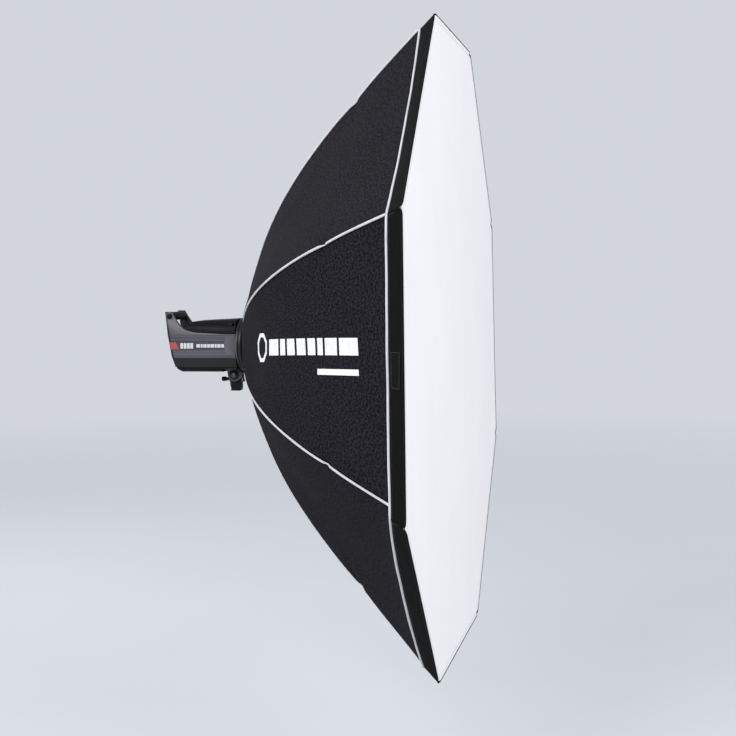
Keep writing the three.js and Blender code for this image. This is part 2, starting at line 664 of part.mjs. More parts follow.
function supportRod(angle) {
  const controlPoints = [ROD_CURVE.v0, ROD_CURVE.v1, ROD_CURVE.v2, ROD_CURVE.v3];
  const path = new THREE.CubicBezierCurve3(...controlPoints.map((p) => onAxisPlane(angle, p.x, p.y)));
  const section = new THREE.Shape();
  section.absarc(0, 0, ROD_RADIUS, 0, 2 * Math.PI);
  return new THREE.ExtrudeGeometry(section, { steps: ROD_STEPS, curveSegments: 3, extrudePath: path });
}
for (let k = 0; k < SIDES; k++) {
  piece(softbox, `rod_${k + 1}`, supportRod(cornerAngle(k)), MATERIALS.rod);
}

// A band of cloth that follows the seam curve from one place on it to another, all the way round
function clothBand(from, to, steps) {
  const outside = [];
  const inside = [];
  for (let i = 0; i <= steps; i++) {
    const t = from + ((to - from) * i) / steps;
    const point = SEAM.getPoint(t);
    const tangent = SEAM.getTangent(t);
    outside.push([point.y, point.x]);
    inside.unshift([point.y - tangent.x * CLOTH, point.x + tangent.y * CLOTH]);
  }
  return turned('X', [...outside, ...inside, outside[0]], SIDES, HALF_SIDE_ANGLE);
}

// The space of one panel: between two planes through the axis, each moved in by half a gap
function panelWedge(k) {
  const middle = (k * 2 * Math.PI) / SIDES;
  const tip = GAP / 2 / Math.sin(HALF_SIDE_ANGLE);
  const reach = 2 * CORNER_RADIUS;
  const outline = [[middle, 0], [middle + HALF_SIDE_ANGLE, reach], [middle - HALF_SIDE_ANGLE, reach]];
  const corners = outline.map(([angle, r]) => {
    const start = onAxisPlane(middle, 0, tip);
    const end = onAxisPlane(angle, 0, r);
    return new THREE.Vector2(start.y + end.y, start.z + end.z);
  });
  return pushed('X', corners, 0, FRONT_X + 10);
}

const shell = clothBand(0, LIP_START - 0.0005, 12);
for (let k = 0; k < SIDES; k++) {
  piece(softbox, `shell_panel_${k + 1}`, common(shell, panelWedge(k)), MATERIALS.blackCloth);
}
piece(softbox, 'front_lip', clothBand(LIP_START, 1, 1), MATERIALS.lipCloth);
const rearCollar = ring('X', 77, 80, 36, 45.6, SIDES * 4);
piece(softbox, 'rear_collar', rearCollar, MATERIALS.lipCloth);

const diffuser = disc('X', DIFFUSER_RADIUS, DIFFUSER_X, DIFFUSER_X + SHEET, SIDES, HALF_SIDE_ANGLE);
piece(softbox, 'front_diffuser', diffuser, MATERIALS.whiteCloth);

function innerBaffle() {
  const sheet = disc('X', BAFFLE_RADIUS, BAFFLE_X, BAFFLE_X + SHEET, SIDES, HALF_SIDE_ANGLE);
  const straps = Array.from({ length: SIDES }, (_, k) => {
    const half = STRAP_WIDTH / 2;
    const strap = block(BAFFLE_X, BAFFLE_X + SHEET, -half, half, BAFFLE_RADIUS - 40, STRAP_END_RADIUS);
    return turnTo(cornerAngle(k), strap);
  });
  return join(sheet, ...straps);
}
piece(softbox, 'inner_baffle', innerBaffle(), MATERIALS.whiteCloth);

export default softboxSet;
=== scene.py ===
"""Looks of a large eight-sided studio softbox on its flash head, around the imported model.

Metres. +X is the way the light leaves, +Z is up. Panel 0 of the softbox faces -Y, and the others
follow it round, over the top first."""

from math import cos, pi, radians, sin

import bpy
import numpy as np
from mathutils import Matrix, Vector


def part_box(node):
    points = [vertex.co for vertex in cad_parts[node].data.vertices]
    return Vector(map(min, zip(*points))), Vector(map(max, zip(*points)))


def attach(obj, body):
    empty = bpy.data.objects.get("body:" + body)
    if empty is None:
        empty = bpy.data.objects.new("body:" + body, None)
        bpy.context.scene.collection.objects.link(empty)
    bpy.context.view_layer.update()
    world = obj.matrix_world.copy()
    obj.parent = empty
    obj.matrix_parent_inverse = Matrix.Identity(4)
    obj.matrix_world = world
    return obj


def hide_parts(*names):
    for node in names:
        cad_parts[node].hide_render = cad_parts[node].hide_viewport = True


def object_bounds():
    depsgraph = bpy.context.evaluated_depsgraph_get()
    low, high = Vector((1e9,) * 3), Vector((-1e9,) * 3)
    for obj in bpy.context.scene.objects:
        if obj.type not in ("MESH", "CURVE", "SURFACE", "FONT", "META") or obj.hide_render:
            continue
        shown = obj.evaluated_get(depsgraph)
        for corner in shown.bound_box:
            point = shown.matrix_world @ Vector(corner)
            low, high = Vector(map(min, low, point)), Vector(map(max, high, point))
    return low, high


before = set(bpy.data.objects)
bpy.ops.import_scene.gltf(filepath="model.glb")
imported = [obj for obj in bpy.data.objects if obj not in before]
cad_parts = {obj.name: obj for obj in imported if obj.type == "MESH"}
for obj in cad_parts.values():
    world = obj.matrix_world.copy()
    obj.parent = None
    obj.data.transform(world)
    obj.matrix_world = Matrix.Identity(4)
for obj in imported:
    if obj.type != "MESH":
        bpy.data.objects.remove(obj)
cad_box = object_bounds()

MM = 0.001
SIDES = 8
HALF = pi / SIDES
Z_AXIS = Vector((0, 0, 1))

# ---- Places that come from the frame ----

lip_low, lip_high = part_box("front_lip")
AXIS_Z = (lip_low.z + lip_high.z) / 2
FRONT_X = lip_high.x
CORNER_R = (lip_high.z - lip_low.z) / 2 / cos(HALF)
BAFFLE_LOW, BAFFLE_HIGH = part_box("inner_baffle")
handle_low, handle_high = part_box("handle_bar")
HANDLE_X, HANDLE_Z = (handle_low.x + handle_high.x) / 2, (handle_low.z + handle_high.z) / 2
CUFF_START_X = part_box("rear_collar")[0].x


# ---- Camera ----

def turned(vector, axis, degrees):
    return Matrix.Rotation(radians(degrees), 3, axis) @ vector


def add_camera():
    """Near side on, a little in front of the light and a little above its axis."""
    azimuth, elevation, distance = radians(7.967), radians(3.429), 3.778
    target = Vector((FRONT_X, 0, AXIS_Z))
    back = Vector((sin(azimuth) * cos(elevation), -cos(azimuth) * cos(elevation), sin(elevation)))
    forward = -back
    right = forward.cross(Z_AXIS).normalized()
    up = right.cross(forward)
    aim_left, aim_down, roll = 3.618, -0.928, -0.549
    forward, right = turned(forward, up, aim_left), turned(right, up, aim_left)
    forward, up = turned(forward, right, aim_down), turned(up, right, aim_down)
    right, up = turned(right, forward, -roll), turned(up, forward, -roll)
    camera = bpy.data.objects.new("camera", bpy.data.cameras.new("camera"))
    camera.data.lens, camera.data.sensor_width = 69.67, 36
    camera.matrix_world = Matrix.Translation(target + back * distance) @ (
        Matrix((right, up, -forward)).transposed().to_4x4())
    bpy.context.scene.collection.objects.link(camera)
    bpy.context.scene.camera = camera


add_camera()


# ---- Materials ----

class Finish:
    """A Principled material whose sockets are fed by a few procedural patterns."""

    def __init__(self, name, **sockets):
        self.material = bpy.data.materials.new(name)
        self.material.use_nodes = True
        self.tree = self.material.node_tree
        self.shader = self.tree.nodes["Principled BSDF"]
        for socket, value in sockets.items():
            self.shader.inputs[socket.replace("_", " ")].default_value = value
        self.normal = None

    def node(self, kind, **settings):
        made = self.tree.nodes.new("ShaderNode" + kind)
        for key, value in settings.items():
            setattr(made, key, value)
        return made

    def feed(self, socket, value):
        if isinstance(value, bpy.types.NodeSocket):
            self.tree.links.new(value, socket)
        else:
            socket.default_value = value

    def place(self, kind="Object"):
        if kind == "weave":
            return self.node("UVMap", uv_map="weave").outputs["UV"]
        return self.node("TexCoord").outputs[kind]

    def noise(self, scale, detail=3.0, roughness=0.6, place="Object"):
        made = self.node("TexNoise")
        self.feed(made.inputs["Vector"], self.place(place))
        for socket, value in (("Scale", scale), ("Detail", detail), ("Roughness", roughness)):
            made.inputs[socket].default_value = value
        return made.outputs["Fac"]

    def waves(self, period, direction="X", slant=0):
        """Bands across the cloth, slanted by some degrees."""
        turned_place = self.node("Mapping")
        self.feed(turned_place.inputs["Vector"], self.place("weave"))
        turned_place.inputs["Rotation"].default_value = (0, 0, radians(slant))
        made = self.node("TexWave", bands_direction=direction)
        self.feed(made.inputs["Vector"], turned_place.outputs["Vector"])
        made.inputs["Scale"].default_value = 2 * pi / (20 * period)
        return made.outputs["Fac"]

    def math(self, operation, first, second=0.5):
        made = self.node("Math", operation=operation)
        self.feed(made.inputs[0], first)
        self.feed(made.inputs[1], second)
        return made.outputs[0]

    def times(self, first, second):
        return self.math("MULTIPLY", first, second)

    def minus(self, first, second):
        return self.math("SUBTRACT", first, second)

    def less(self, first, second):
        """1 where the first is less than the second, and 0 elsewhere."""
        return self.math("LESS_THAN", first, second)

    def split_place(self):
        """The sockets of x, y and z."""
        parts = self.node("SeparateXYZ")
        self.feed(parts.inputs[0], self.place())
        return parts.outputs

    def ramp(self, factor, low, high, start=0.3, end=0.7):
        """Colours or numbers between two values, over a range of the factor."""
        made = self.node("ValToRGB")
        for element, place, value in zip(made.color_ramp.elements, (start, end), (low, high)):
            element.position = place
            element.color = (*value, 1) if isinstance(value, tuple) else (value, value, value, 1)
        self.feed(made.inputs["Fac"], factor)
        return made.outputs["Color"]

    def mix(self, factor, first, second, blend="MIX"):
        made = self.node("Mix", data_type="RGBA", blend_type=blend)
        self.feed(made.inputs[0], factor)
        for socket, value in ((made.inputs[6], first), (made.inputs[7], second)):
            self.feed(socket, (*value, 1) if isinstance(value, tuple) else value)
        return made.outputs[2]

    def worn_edges(self, start=0.53, end=0.62):
        return self.ramp(self.node("NewGeometry").outputs["Pointiness"], 0.0, 1.0, start, end)

    def colour(self, value):
        self.feed(self.shader.inputs["Base Color"], value)

    def roughness(self, value):
        self.feed(self.shader.inputs["Roughness"], value)

    def bump(self, height, distance, strength=1.0):
        made = self.node("Bump")
        made.inputs["Strength"].default_value = strength
        made.inputs["Distance"].default_value = distance
        self.feed(made.inputs["Height"], height)
        if self.normal is not None:
            self.feed(made.inputs["Normal"], self.normal)
        self.normal = made.outputs["Normal"]
        self.feed(self.shader.inputs["Normal"], self.normal)

    def weave_bump(self, pitch, depth, strength):
        """Warp and weft yarns that cross."""
        crossing = self.times(self.waves(pitch, "X"), self.waves(pitch, "Y"))
        self.bump(crossing, depth, strength)


def lighter(colour, factor):
    return tuple(min(channel * factor, 1.0) for channel in colour)


def woven(name, colour, flecks, pitch=1.1 * MM, grain=150, depth=0.16 * MM):
    """Plain-woven cloth: flecked yarns, slow shade changes, and painted shade that darkens it beside its
    seams.
    """
    finish = Finish(name, Specular_IOR_Level=0.06)
    fine = finish.noise(grain, 4, 0.75, "weave")
    broad = finish.noise(7, 3, 0.6, "weave")
    shade = finish.ramp(fine, colour, flecks, 0.42, 0.66)
    shade = finish.mix(0.35, shade, finish.ramp(broad, 0.55, 1.0, 0.3, 0.7), "MULTIPLY")
    # Painted shade: the colour darkens within a few mm of each seam and edge, standing for the shadow in
    # the dip beside the piping
    near_seam = finish.node("Attribute", attribute_name="seam_distance").outputs["Fac"]
    rim = finish.ramp(finish.times(near_seam, 60.0), 0.45, 1.0, 0.12, 0.65)
    finish.colour(finish.mix(1.0, shade, rim, "MULTIPLY"))
    finish.roughness(finish.ramp(fine, 0.80, 0.98))
    finish.weave_bump(pitch, depth, 0.8)
    finish.bump(finish.noise(grain * 0.55, 3, 0.6, "weave"), depth * 4, 0.45)
    return finish.material


def white_cloth(name, colour=(0.87, 0.86, 0.865), **sockets):
    """Fine white diffusion cloth: a faint weave, slow shade changes and soft creases."""
    finish = Finish(name, Roughness=0.75, **sockets)
    broad = finish.noise(3.5, 3, 0.55, "weave")
    fine = finish.noise(420, 3, 0.7, "weave")
    shade = finish.ramp(broad, lighter(colour, 0.965), colour, 0.3, 0.65)
    finish.colour(finish.mix(0.25, shade, finish.ramp(fine, lighter(colour, 0.93), colour), "MULTIPLY"))
    finish.weave_bump(0.9 * MM, 0.08 * MM, 0.7)
    finish.bump(finish.noise(14, 4, 0.5, "weave"), 1.2 * MM, 0.25)
    return finish.material


def piping_cloth(name, colour):
    """Bias-cut tape wrapped round a cord: slanted yarns, slightly soiled."""
    finish = Finish(name, Roughness=0.8)
    yarn = finish.waves(1.6 * MM, slant=40)
    soil = finish.ramp(finish.noise(22, 4, 0.7), lighter(colour, 0.84), colour, 0.3, 0.55)
    finish.colour(finish.mix(0.5, soil, finish.ramp(yarn, 0.86, 1.0, 0.1, 0.6), "MULTIPLY"))
    finish.bump(yarn, 0.3 * MM, 0.7)
    return finish.material


def moulded(name, colour, roughness, grain=900, depth=0.06 * MM, wear=1.5, **sockets):
    """Moulded plastic or rubber: spark-eroded texture, slow shade changes, edges rubbed lighter."""
    finish = Finish(name, **sockets)
    fine = finish.noise(grain, 4, 0.7)
    broad = finish.noise(16, 4, 0.6)
    shade = finish.ramp(broad, lighter(colour, 0.86), lighter(colour, 1.1))
    patchy = finish.ramp(finish.noise(70, 4, 0.75), 0.25, 1.0, 0.35, 0.6)
    scuffs = finish.times(finish.worn_edges(), patchy)
    finish.colour(finish.mix(scuffs, shade, lighter(colour, wear)))
    finish.roughness(finish.ramp(broad, roughness - 0.06, roughness + 0.08))
    finish.bump(fine, depth, 0.6)
    return finish.material


def metal(name, colour, roughness, wear=1.4, grain=500, depth=0.04 * MM, **sockets):
    """Painted or bare metal, its edges rubbed lighter."""
    finish = Finish(name, **sockets)
    fine = finish.noise(grain, 3, 0.65)
    broad = finish.noise(25, 4, 0.6)
    shade = finish.ramp(broad, lighter(colour, 0.85), lighter(colour, 1.1))
    finish.colour(finish.mix(finish.worn_edges(0.54, 0.63), shade, lighter(colour, wear)))
    finish.roughness(finish.ramp(fine, roughness - 0.08, roughness + 0.1))
    finish.bump(fine, depth, 0.5)
    return finish.material


def glass(name, colour, **sockets):
    """Clear glass with faint ripples and dust."""
    finish = Finish(name, IOR=1.47, Transmission_Weight=1.0, **sockets)
    dust = finish.noise(60, 4, 0.7)
    finish.colour(finish.ramp(dust, lighter(colour, 0.93), colour))
    finish.roughness(finish.ramp(dust, 0.02, 0.09))
    finish.bump(finish.noise(30, 2), 0.2 * MM, 0.3)
    return finish.material


SHELL_CLOTH = woven("shell_cloth", (0.0022, 0.0021, 0.0032), (0.034, 0.032, 0.040))
LIP_CLOTH = woven("lip_cloth", (0.0042, 0.0042, 0.0044), (0.0105, 0.0105, 0.0108),
                  0.9 * MM, 240, 0.1 * MM)
PATCH_CLOTH = woven("patch_cloth", (0.0055, 0.0055, 0.0058), (0.013, 0.013, 0.0134),
                    0.9 * MM, 260, 0.12 * MM)
LINING = metal("silver_lining", (0.62, 0.62, 0.64), 0.42, Metallic=0.85, grain=160, depth=0.5 * MM)
DIFFUSER_CLOTH = white_cloth("diffuser_cloth", Sheen_Weight=0.1)
BAFFLE_CLOTH = white_cloth("baffle_cloth", (0.80, 0.79, 0.80))
PIPING = piping_cloth("white_piping", (0.64, 0.64, 0.66))
HEM_CORD = piping_cloth("hem_cord", (0.45, 0.45, 0.465))
BLACK_THREAD = moulded("black_thread", (0.035, 0.035, 0.038), 0.55, 1500)
WHITE_THREAD = moulded("white_thread", (0.55, 0.55, 0.56), 0.6, 1500, wear=1.1)
GREY_THREAD = moulded("grey_thread", (0.13, 0.13, 0.14), 0.5, 1500)
MARK_PRINT = moulded("mark_print", (0.80, 0.80, 0.81), 0.55, 1100, wear=1.0)
LABEL_FILM = moulded("label_film", (0.040, 0.039, 0.046), 0.4, 1300, 0.02 * MM, Specular_IOR_Level=0.3)
LABEL_LIGHT = moulded("label_light", (0.60, 0.60, 0.63), 0.45, 1200, 0.02 * MM, 1.0)
LABEL_RED = moulded("label_red", (0.36, 0.055, 0.060), 0.4, 1200, 0.02 * MM, 1.1)
SCREW_STEEL = metal("screw_steel", (0.10, 0.10, 0.105), 0.35, Metallic=0.9)
DIGIT_GLOW = moulded("digit_glow", (0.75, 0.08, 0.04), 0.3, 1200, 0.01 * MM, 1.0,
                     Emission_Color=(1, 0.09, 0.03, 1), Emission_Strength=1.6)
DISPLAY_BLACK = moulded("display_black", (0.010, 0.012, 0.014), 0.12, 1500, 0.005 * MM, 1.2)


def two_tone_panel():
    """Grey outside, with painted shade below the crease and in dark groove lines; black inside the horns
    and along the rear edge.
    """
    finish = Finish("side_panel_plastic", Specular_IOR_Level=0.35)
    grey, black = (0.066, 0.063, 0.075), (0.006, 0.006, 0.007)
    x, y, height = finish.split_place()
    side = finish.math("ABSOLUTE", y)
    broad = finish.noise(16, 4, 0.6)
    shade = finish.ramp(broad, lighter(grey, 0.9), lighter(grey, 1.08))
    # Painted shade: the grey darkens towards the bottom, below the crease, where less light falls from
    # above
    below = finish.times(finish.minus(height, AXIS_Z - 72 * MM), 1 / (48 * MM))
    shade = finish.mix(1.0, shade, finish.ramp(below, 0.42, 1.0, 0.1, 1.0), "MULTIPLY")
    shade = finish.mix(finish.times(finish.worn_edges(), 0.6), shade, lighter(grey, 1.9))
    # The horns lean inwards from 30 mm above the axis up
    lean = finish.times(finish.minus(height, AXIS_Z + 30 * MM), 0.154)
    upright = finish.math("ADD", side, finish.math("MAXIMUM", lean, 0.0))
    inside = finish.less(upright, 64 * MM)
    behind_ring = finish.less(x, -10 * MM)
    # Painted shade: dark lines stand for the shadow in grooves that the mesh does not have
    for groove in (21.5, 12.2, -11.8):
        apart = finish.math("ABSOLUTE", finish.minus(height, AXIS_Z + groove * MM))
        groove_shade = finish.times(finish.less(apart, 1.1 * MM), behind_ring)
        shade = finish.mix(finish.times(groove_shade, 0.6), shade, black)
    # The rear edge, three straight stretches, with a black border
    edges = []
    for bend_x, bend_z, slope in ((-171.5, 29, 9.5 / 63), (-171.5, 29, 10.5 / 61), (-161, -32, 6 / 26)):
        drop = finish.minus(AXIS_Z + bend_z * MM, height)
        edges.append(finish.math("ADD", finish.times(drop, slope), bend_x * MM))
    edge_x = finish.math("MAXIMUM", finish.math("MAXIMUM", edges[0], edges[1]), edges[2])
    border = finish.less(finish.minus(x, edge_x), 5.5 * MM)
    # The horn's round grey end, with black outside it
    from_handle = finish.node("VectorMath", operation="DISTANCE")
    flat = finish.node("CombineXYZ")
    finish.feed(flat.inputs["X"], x)
    finish.feed(flat.inputs["Z"], height)
    finish.feed(from_handle.inputs[0], flat.outputs["Vector"])
    from_handle.inputs[1].default_value = (HANDLE_X, 0, HANDLE_Z)
    beyond = finish.math("GREATER_THAN", from_handle.outputs["Value"], 10.6 * MM)
    above = finish.math("GREATER_THAN", height, HANDLE_Z)
    border = finish.math("MAXIMUM", border, finish.times(beyond, above))
    finish.colour(finish.mix(finish.math("MAXIMUM", inside, border), shade, black))
    finish.roughness(finish.ramp(broad, 0.36, 0.5))
    finish.bump(finish.noise(900, 4, 0.7), 0.06 * MM, 0.6)
    return finish.material


def ring_finish():
    """The front ring: its chamfer is painted a grey a little lighter than the panels, which carries the
    casing's grey on and paints in the highlight along it; the rest is black.
    """
    finish = Finish("front_ring_plastic", Specular_IOR_Level=0.35)
    broad = finish.noise(16, 4, 0.6)
    grey = finish.ramp(broad, (0.085, 0.083, 0.095), (0.105, 0.103, 0.115))
    # Painted highlight: the chamfer's lighter grey also stands for the bright band that light puts along
    # it
    chamfer_grey_and_highlight = finish.less(finish.split_place()["X"], 21.8 * MM)
    finish.colour(finish.mix(chamfer_grey_and_highlight, (0.010, 0.010, 0.011), grey))
    finish.roughness(finish.ramp(broad, 0.34, 0.5))
    finish.bump(finish.noise(900, 4, 0.7), 0.06 * MM, 0.6)
    return finish.material


PANEL_FINISH, RING_FINISH = two_tone_panel(), ring_finish()
BOLT_FINISH = metal("blackened_bolt", (0.085, 0.083, 0.090), 0.30, Metallic=0.85, wear=1.6)
OWN_FINISHES = {"side_panel_left": PANEL_FINISH, "side_panel_right": PANEL_FINISH,
                "front_ring": RING_FINISH, "pivot_bolt": BOLT_FINISH}
ROD_FINISH = metal("rod_fibre", (0.030, 0.030, 0.033), 0.35)
SLOT_FINISHES = {
    "plastic_grey": moulded("grey_plastic", (0.060, 0.059, 0.068), 0.42, Specular_IOR_Level=0.35),
    "plastic_black": moulded("black_plastic", (0.0045, 0.0043, 0.0054), 0.48, Specular_IOR_Level=0.12),
    "rubber": moulded("black_rubber", (0.0075, 0.0075, 0.008), 0.7, 600, 0.12 * MM,
                      Specular_IOR_Level=0.25),
    "cast_metal": metal("cast_metal_paint", (0.0045, 0.0045, 0.0052), 0.42, wear=3.5,
                        Specular_IOR_Level=0.14),
    "steel": metal("bright_steel", (0.60, 0.60, 0.63), 0.22, Metallic=1.0, wear=1.1),
    "clear_glass": glass("clear_glass", (0.95, 0.96, 0.97)),
    "display": glass("display_glass", (0.45, 0.47, 0.50)),
    "circuit_board": moulded("circuit_board", (0.02, 0.10, 0.04), 0.5, 300, 0.3 * MM),
    "capacitor": moulded("capacitor_sleeve", (0.03, 0.05, 0.11), 0.35, 400),
    "ceramic": moulded("ceramic_white", (0.78, 0.75, 0.68), 0.5, 350, 0.1 * MM, 1.05),
}


# ---- Mesh helpers ----

def smooth_by_angle(limit):
    """A modifier's node group that shades smooth, with sharp edges where faces meet steeply."""
    group = bpy.data.node_groups.new("smooth_by_angle", "GeometryNodeTree")
    for direction in ("INPUT", "OUTPUT"):
        group.interface.new_socket("Geometry", in_out=direction, socket_type="NodeSocketGeometry")
    enter, leave = group.nodes.new("NodeGroupInput"), group.nodes.new("NodeGroupOutput")
    faces, edges = (group.nodes.new("GeometryNodeSetShadeSmooth") for _ in range(2))
    faces.domain, edges.domain = "FACE", "EDGE"
    angle = group.nodes.new("GeometryNodeInputMeshEdgeAngle")
    flat_enough = group.nodes.new("FunctionNodeCompare")
    flat_enough.operation = "LESS_EQUAL"
    flat_enough.inputs[1].default_value = radians(limit)
    for start, end in (
        (enter.outputs[0], faces.inputs[0]), (faces.outputs[0], edges.inputs[0]),
        (angle.outputs[0], flat_enough.inputs[0]),
        (flat_enough.outputs[0], edges.inputs["Shade Smooth"]), (edges.outputs[0], leave.inputs[0]),
    ):
        group.links.new(start, end)
    return group


SMOOTH = smooth_by_angle(38)


def add_smooth(obj):
    obj.modifiers.new("smooth", "NODES").node_group = SMOOTH


# How far each front corner of the cloth stands from its even place, forwards and upwards, from the
# near side's upper corner round over the top
CORNER_DRIFT = np.array([(0, 0), (0, 0), (-4, 0), (0, 0), (10, -2), (5, -4), (-6, -10), (0, -10)]) * MM
# How far the rim bows forwards in the middle of each panel
RIM_BOW = np.array([-2, 9, 3, -2, 2, -2, -4, -14]) * MM
DRIFT_START_X = 0.06
RIM_BOW_REACH = 90 * MM


def drifted(points):
    """Moves the softbox's cloth with its corners: fully at the front, not at all at the ring."""
    points = np.asarray(points, float).reshape(-1, 3)
    side, height = -points[:, 1], points[:, 2] - AXIS_Z
    turn = np.arctan2(height, side) / (2 * HALF) - 0.5
    first = np.floor(turn).astype(int)
    share = ((np.tan((turn - first - 0.5) * 2 * HALF) / np.tan(HALF)) + 1) / 2
    drift = (CORNER_DRIFT[first % SIDES] * (1 - share)[:, None]
             + CORNER_DRIFT[(first + 1) % SIDES] * share[:, None])
    forward = np.clip((points[:, 0] - DRIFT_START_X) / (FRONT_X - DRIFT_START_X), 0, 1) ** 1.6
    spread = np.clip(np.hypot(side, height) / np.interp(points[:, 0], *seam(T_TABLE).T), 0, 1)
    weight = (forward * spread)[:, None]
    moved = points + np.stack([drift[:, 0], np.zeros(len(points)), drift[:, 1]], 1) * weight
    rim_x = float(seam(LIP_START)[0])
    behind = np.exp(-((points[:, 0] - rim_x) / RIM_BOW_REACH) ** 2)
    ahead = np.clip((FRONT_X - points[:, 0]) / (FRONT_X - rim_x), 0, 1)
    near_rim = np.where(points[:, 0] < rim_x, behind, ahead)
    moved[:, 0] += RIM_BOW[(first + 1) % SIDES] * (1 - (2 * share - 1) ** 2) * near_rim * spread ** 4
    return moved


def new_piece(name, vertices, faces, material, body, smooth=True):
    mesh = bpy.data.meshes.new(name)
    if body == "softbox":
        vertices = drifted(vertices)
    mesh.from_pydata(np.asarray(vertices, float).reshape(-1, 3).tolist(), [], faces)
    mesh.validate()
    mesh.materials.append(material)
    obj = bpy.data.objects.new(name, mesh)
    bpy.context.scene.collection.objects.link(obj)
    if smooth:
        add_smooth(obj)
    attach(obj, body)
    return obj


def grid_faces(rows, columns, wrapped=False):
    """Faces between neighbouring points of a grid, whose last column may join its first."""
    spans = columns if wrapped else columns - 1
    return [
        (i * columns + j, (i + 1) * columns + j,
         (i + 1) * columns + (j + 1) % columns, i * columns + (j + 1) % columns)
        for i in range(rows - 1) for j in range(spans)
    ]


def map_weave(obj, across, along):
    """A map in metres, from each face corner's place across and along the cloth."""
    layer = obj.data.uv_layers.new(name="weave")
    corners = np.empty(len(obj.data.loops), np.int32)
    obj.data.loops.foreach_get("vertex_index", corners)
    places = np.stack([np.ravel(across)[corners], np.ravel(along)[corners]], 1)
    # A face that closes a wrapped grid takes the first column's points one whole turn on
    starts = np.empty(len(obj.data.polygons), np.int32)
    totals = np.empty(len(obj.data.polygons), np.int32)
    obj.data.polygons.foreach_get("loop_start", starts)
    obj.data.polygons.foreach_get("loop_total", totals)
    width = float(np.ptp(across))
    for start, total in zip(starts, totals):
        face = places[start:start + total, 0]
        if np.ptp(face) > width / 2:
            face[face < face.max() - width / 2] += width
    layer.data.foreach_set("uv", places.astype(np.float32).ravel())


# The woven cloth paints shade from these distances: the nearer a seam or edge, the darker
def set_seam_distance(obj, distances):
    attribute = obj.data.attributes.new("seam_distance", "FLOAT", "POINT")
    attribute.data.foreach_set("value", np.ravel(distances).astype(np.float32))


def thicken(obj, thickness, inside=None):
    """Gives a sheet its thickness, inwards; inside is the material of its other side."""
    if inside:
        obj.data.materials.append(inside)
    solid = obj.modifiers.new("thickness", "SOLIDIFY")
    solid.thickness, solid.offset = thickness, -1
    solid.material_offset = 1 if inside else 0
    obj.modifiers.move(len(obj.modifiers) - 1, 0)


def round_axis(x, radius, angle):
    """Points at a distance from the light's axis; the angle runs from the near side over the top."""
    x, radius, angle = np.broadcast_arrays(x, radius, angle)
    return np.stack([x, -radius * np.cos(angle), AXIS_Z + radius * np.sin(angle)], -1)


def unit(vectors):
    return vectors / np.maximum(np.linalg.norm(vectors, axis=-1, keepdims=True), 1e-12)


def lengths_along(path):
    return np.concatenate([[0], np.cumsum(np.linalg.norm(np.diff(path, axis=0), axis=1))])


def tube(name, path, up, width, height, material, body, sides, closed=False):
    """A cord or tape of oval section along a path; width lies across the path and across up."""
    path, up = np.asarray(path, float), unit(np.asarray(up, float))
    count = len(path)
    if closed:
        tangent = unit(np.roll(path, -1, 0) - np.roll(path, 1, 0))
    else:
        tangent = unit(np.gradient(path, axis=0))
    across = unit(np.cross(tangent, up))
    up = np.cross(across, tangent)
    width = np.broadcast_to(np.asarray(width, float), count)[:, None, None]
    height = np.broadcast_to(np.asarray(height, float), count)[:, None, None]
    angles = np.arange(sides) / sides * 2 * pi
    ring = (np.cos(angles)[None, :, None] * across[:, None] * width
            + np.sin(angles)[None, :, None] * up[:, None] * height) / 2
    points = path[:, None] + ring
    faces = grid_faces(count, sides, True)
    if closed:
        last = (count - 1) * sides
        faces += [(last + j, j, (j + 1) % sides, last + (j + 1) % sides) for j in range(sides)]
    else:
        ends = tuple(range(sides)), tuple((count - 1) * sides + j for j in range(sides))
        faces += [ends[0], ends[1][::-1]]
    obj = new_piece(name, points, faces, material, body)
    girth = float(np.max(width)) * pi
    around = np.broadcast_to(angles / (2 * pi) * girth, (count, sides))
    along = np.broadcast_to(lengths_along(path)[:, None], (count, sides))
    map_weave(obj, around, along)
    return obj


def stitches(name, rows, material, body, pitch=4.2 * MM, long=3.0 * MM, thick=0.75 * MM):
    """Rows of sewn stitches; each row is a path and the cloth's outward directions along it."""
    points, faces = [], []
    for path, up in rows:
        path, up = np.asarray(path, float), unit(np.asarray(up, float))
        place = lengths_along(path)
        middles = np.arange(pitch / 2, place[-1], pitch)
        at = lambda s, values: np.stack([np.interp(s, place, values[:, i]) for i in range(3)], 1)
        starts, ends = at(middles - long / 2, path), at(middles + long / 2, path)
        lift = unit(at(middles, up)) * thick / 2
        side = unit(np.cross(ends - starts, lift)) * thick / 2
        middle = (starts + ends) / 2
        corners = np.stack([starts, middle + side, middle + lift, middle - side, middle - lift, ends], 1)
        base = sum(len(p) for p in points)
        points.append(corners.reshape(-1, 3))
        for first in range(base, base + 6 * len(middles), 6):
            for a, b in ((1, 2), (2, 3), (3, 4), (4, 1)):
                faces.append((first, first + a, first + b))
                faces.append((first + 5, first + b, first + a))
    return new_piece(name, np.vstack(points), faces, material, body)


# ---- The softbox's surface ----

# Curves in the plane of the axis, as (x, distance from the axis) of a cubic's four points
RING_X = 0.046
SEAM = np.array([(RING_X, 0.082), (0.112, 0.375), (0.252, 0.550), (FRONT_X, CORNER_R)])
ROD = np.array([(0.0615, 0.068), (0.095, 0.335), (0.296, 0.580), (0.598, 0.850)])
LIP_START = 0.962  # where the lip starts on the seam's curve
PINCH_DEPTH = 6 * MM
SEAM_END_RISE = 31 * MM  # how far above the rim's near lower corner its seam ends
SAG = 6 * MM


def cubic(curve, t):
    t = np.asarray(t, float)[..., None]
    a, b, c, d = curve
    return (1 - t) ** 3 * a + 3 * (1 - t) ** 2 * t * b + 3 * (1 - t) * t ** 2 * c + t ** 3 * d


def seam(t):
    return cubic(SEAM, t)


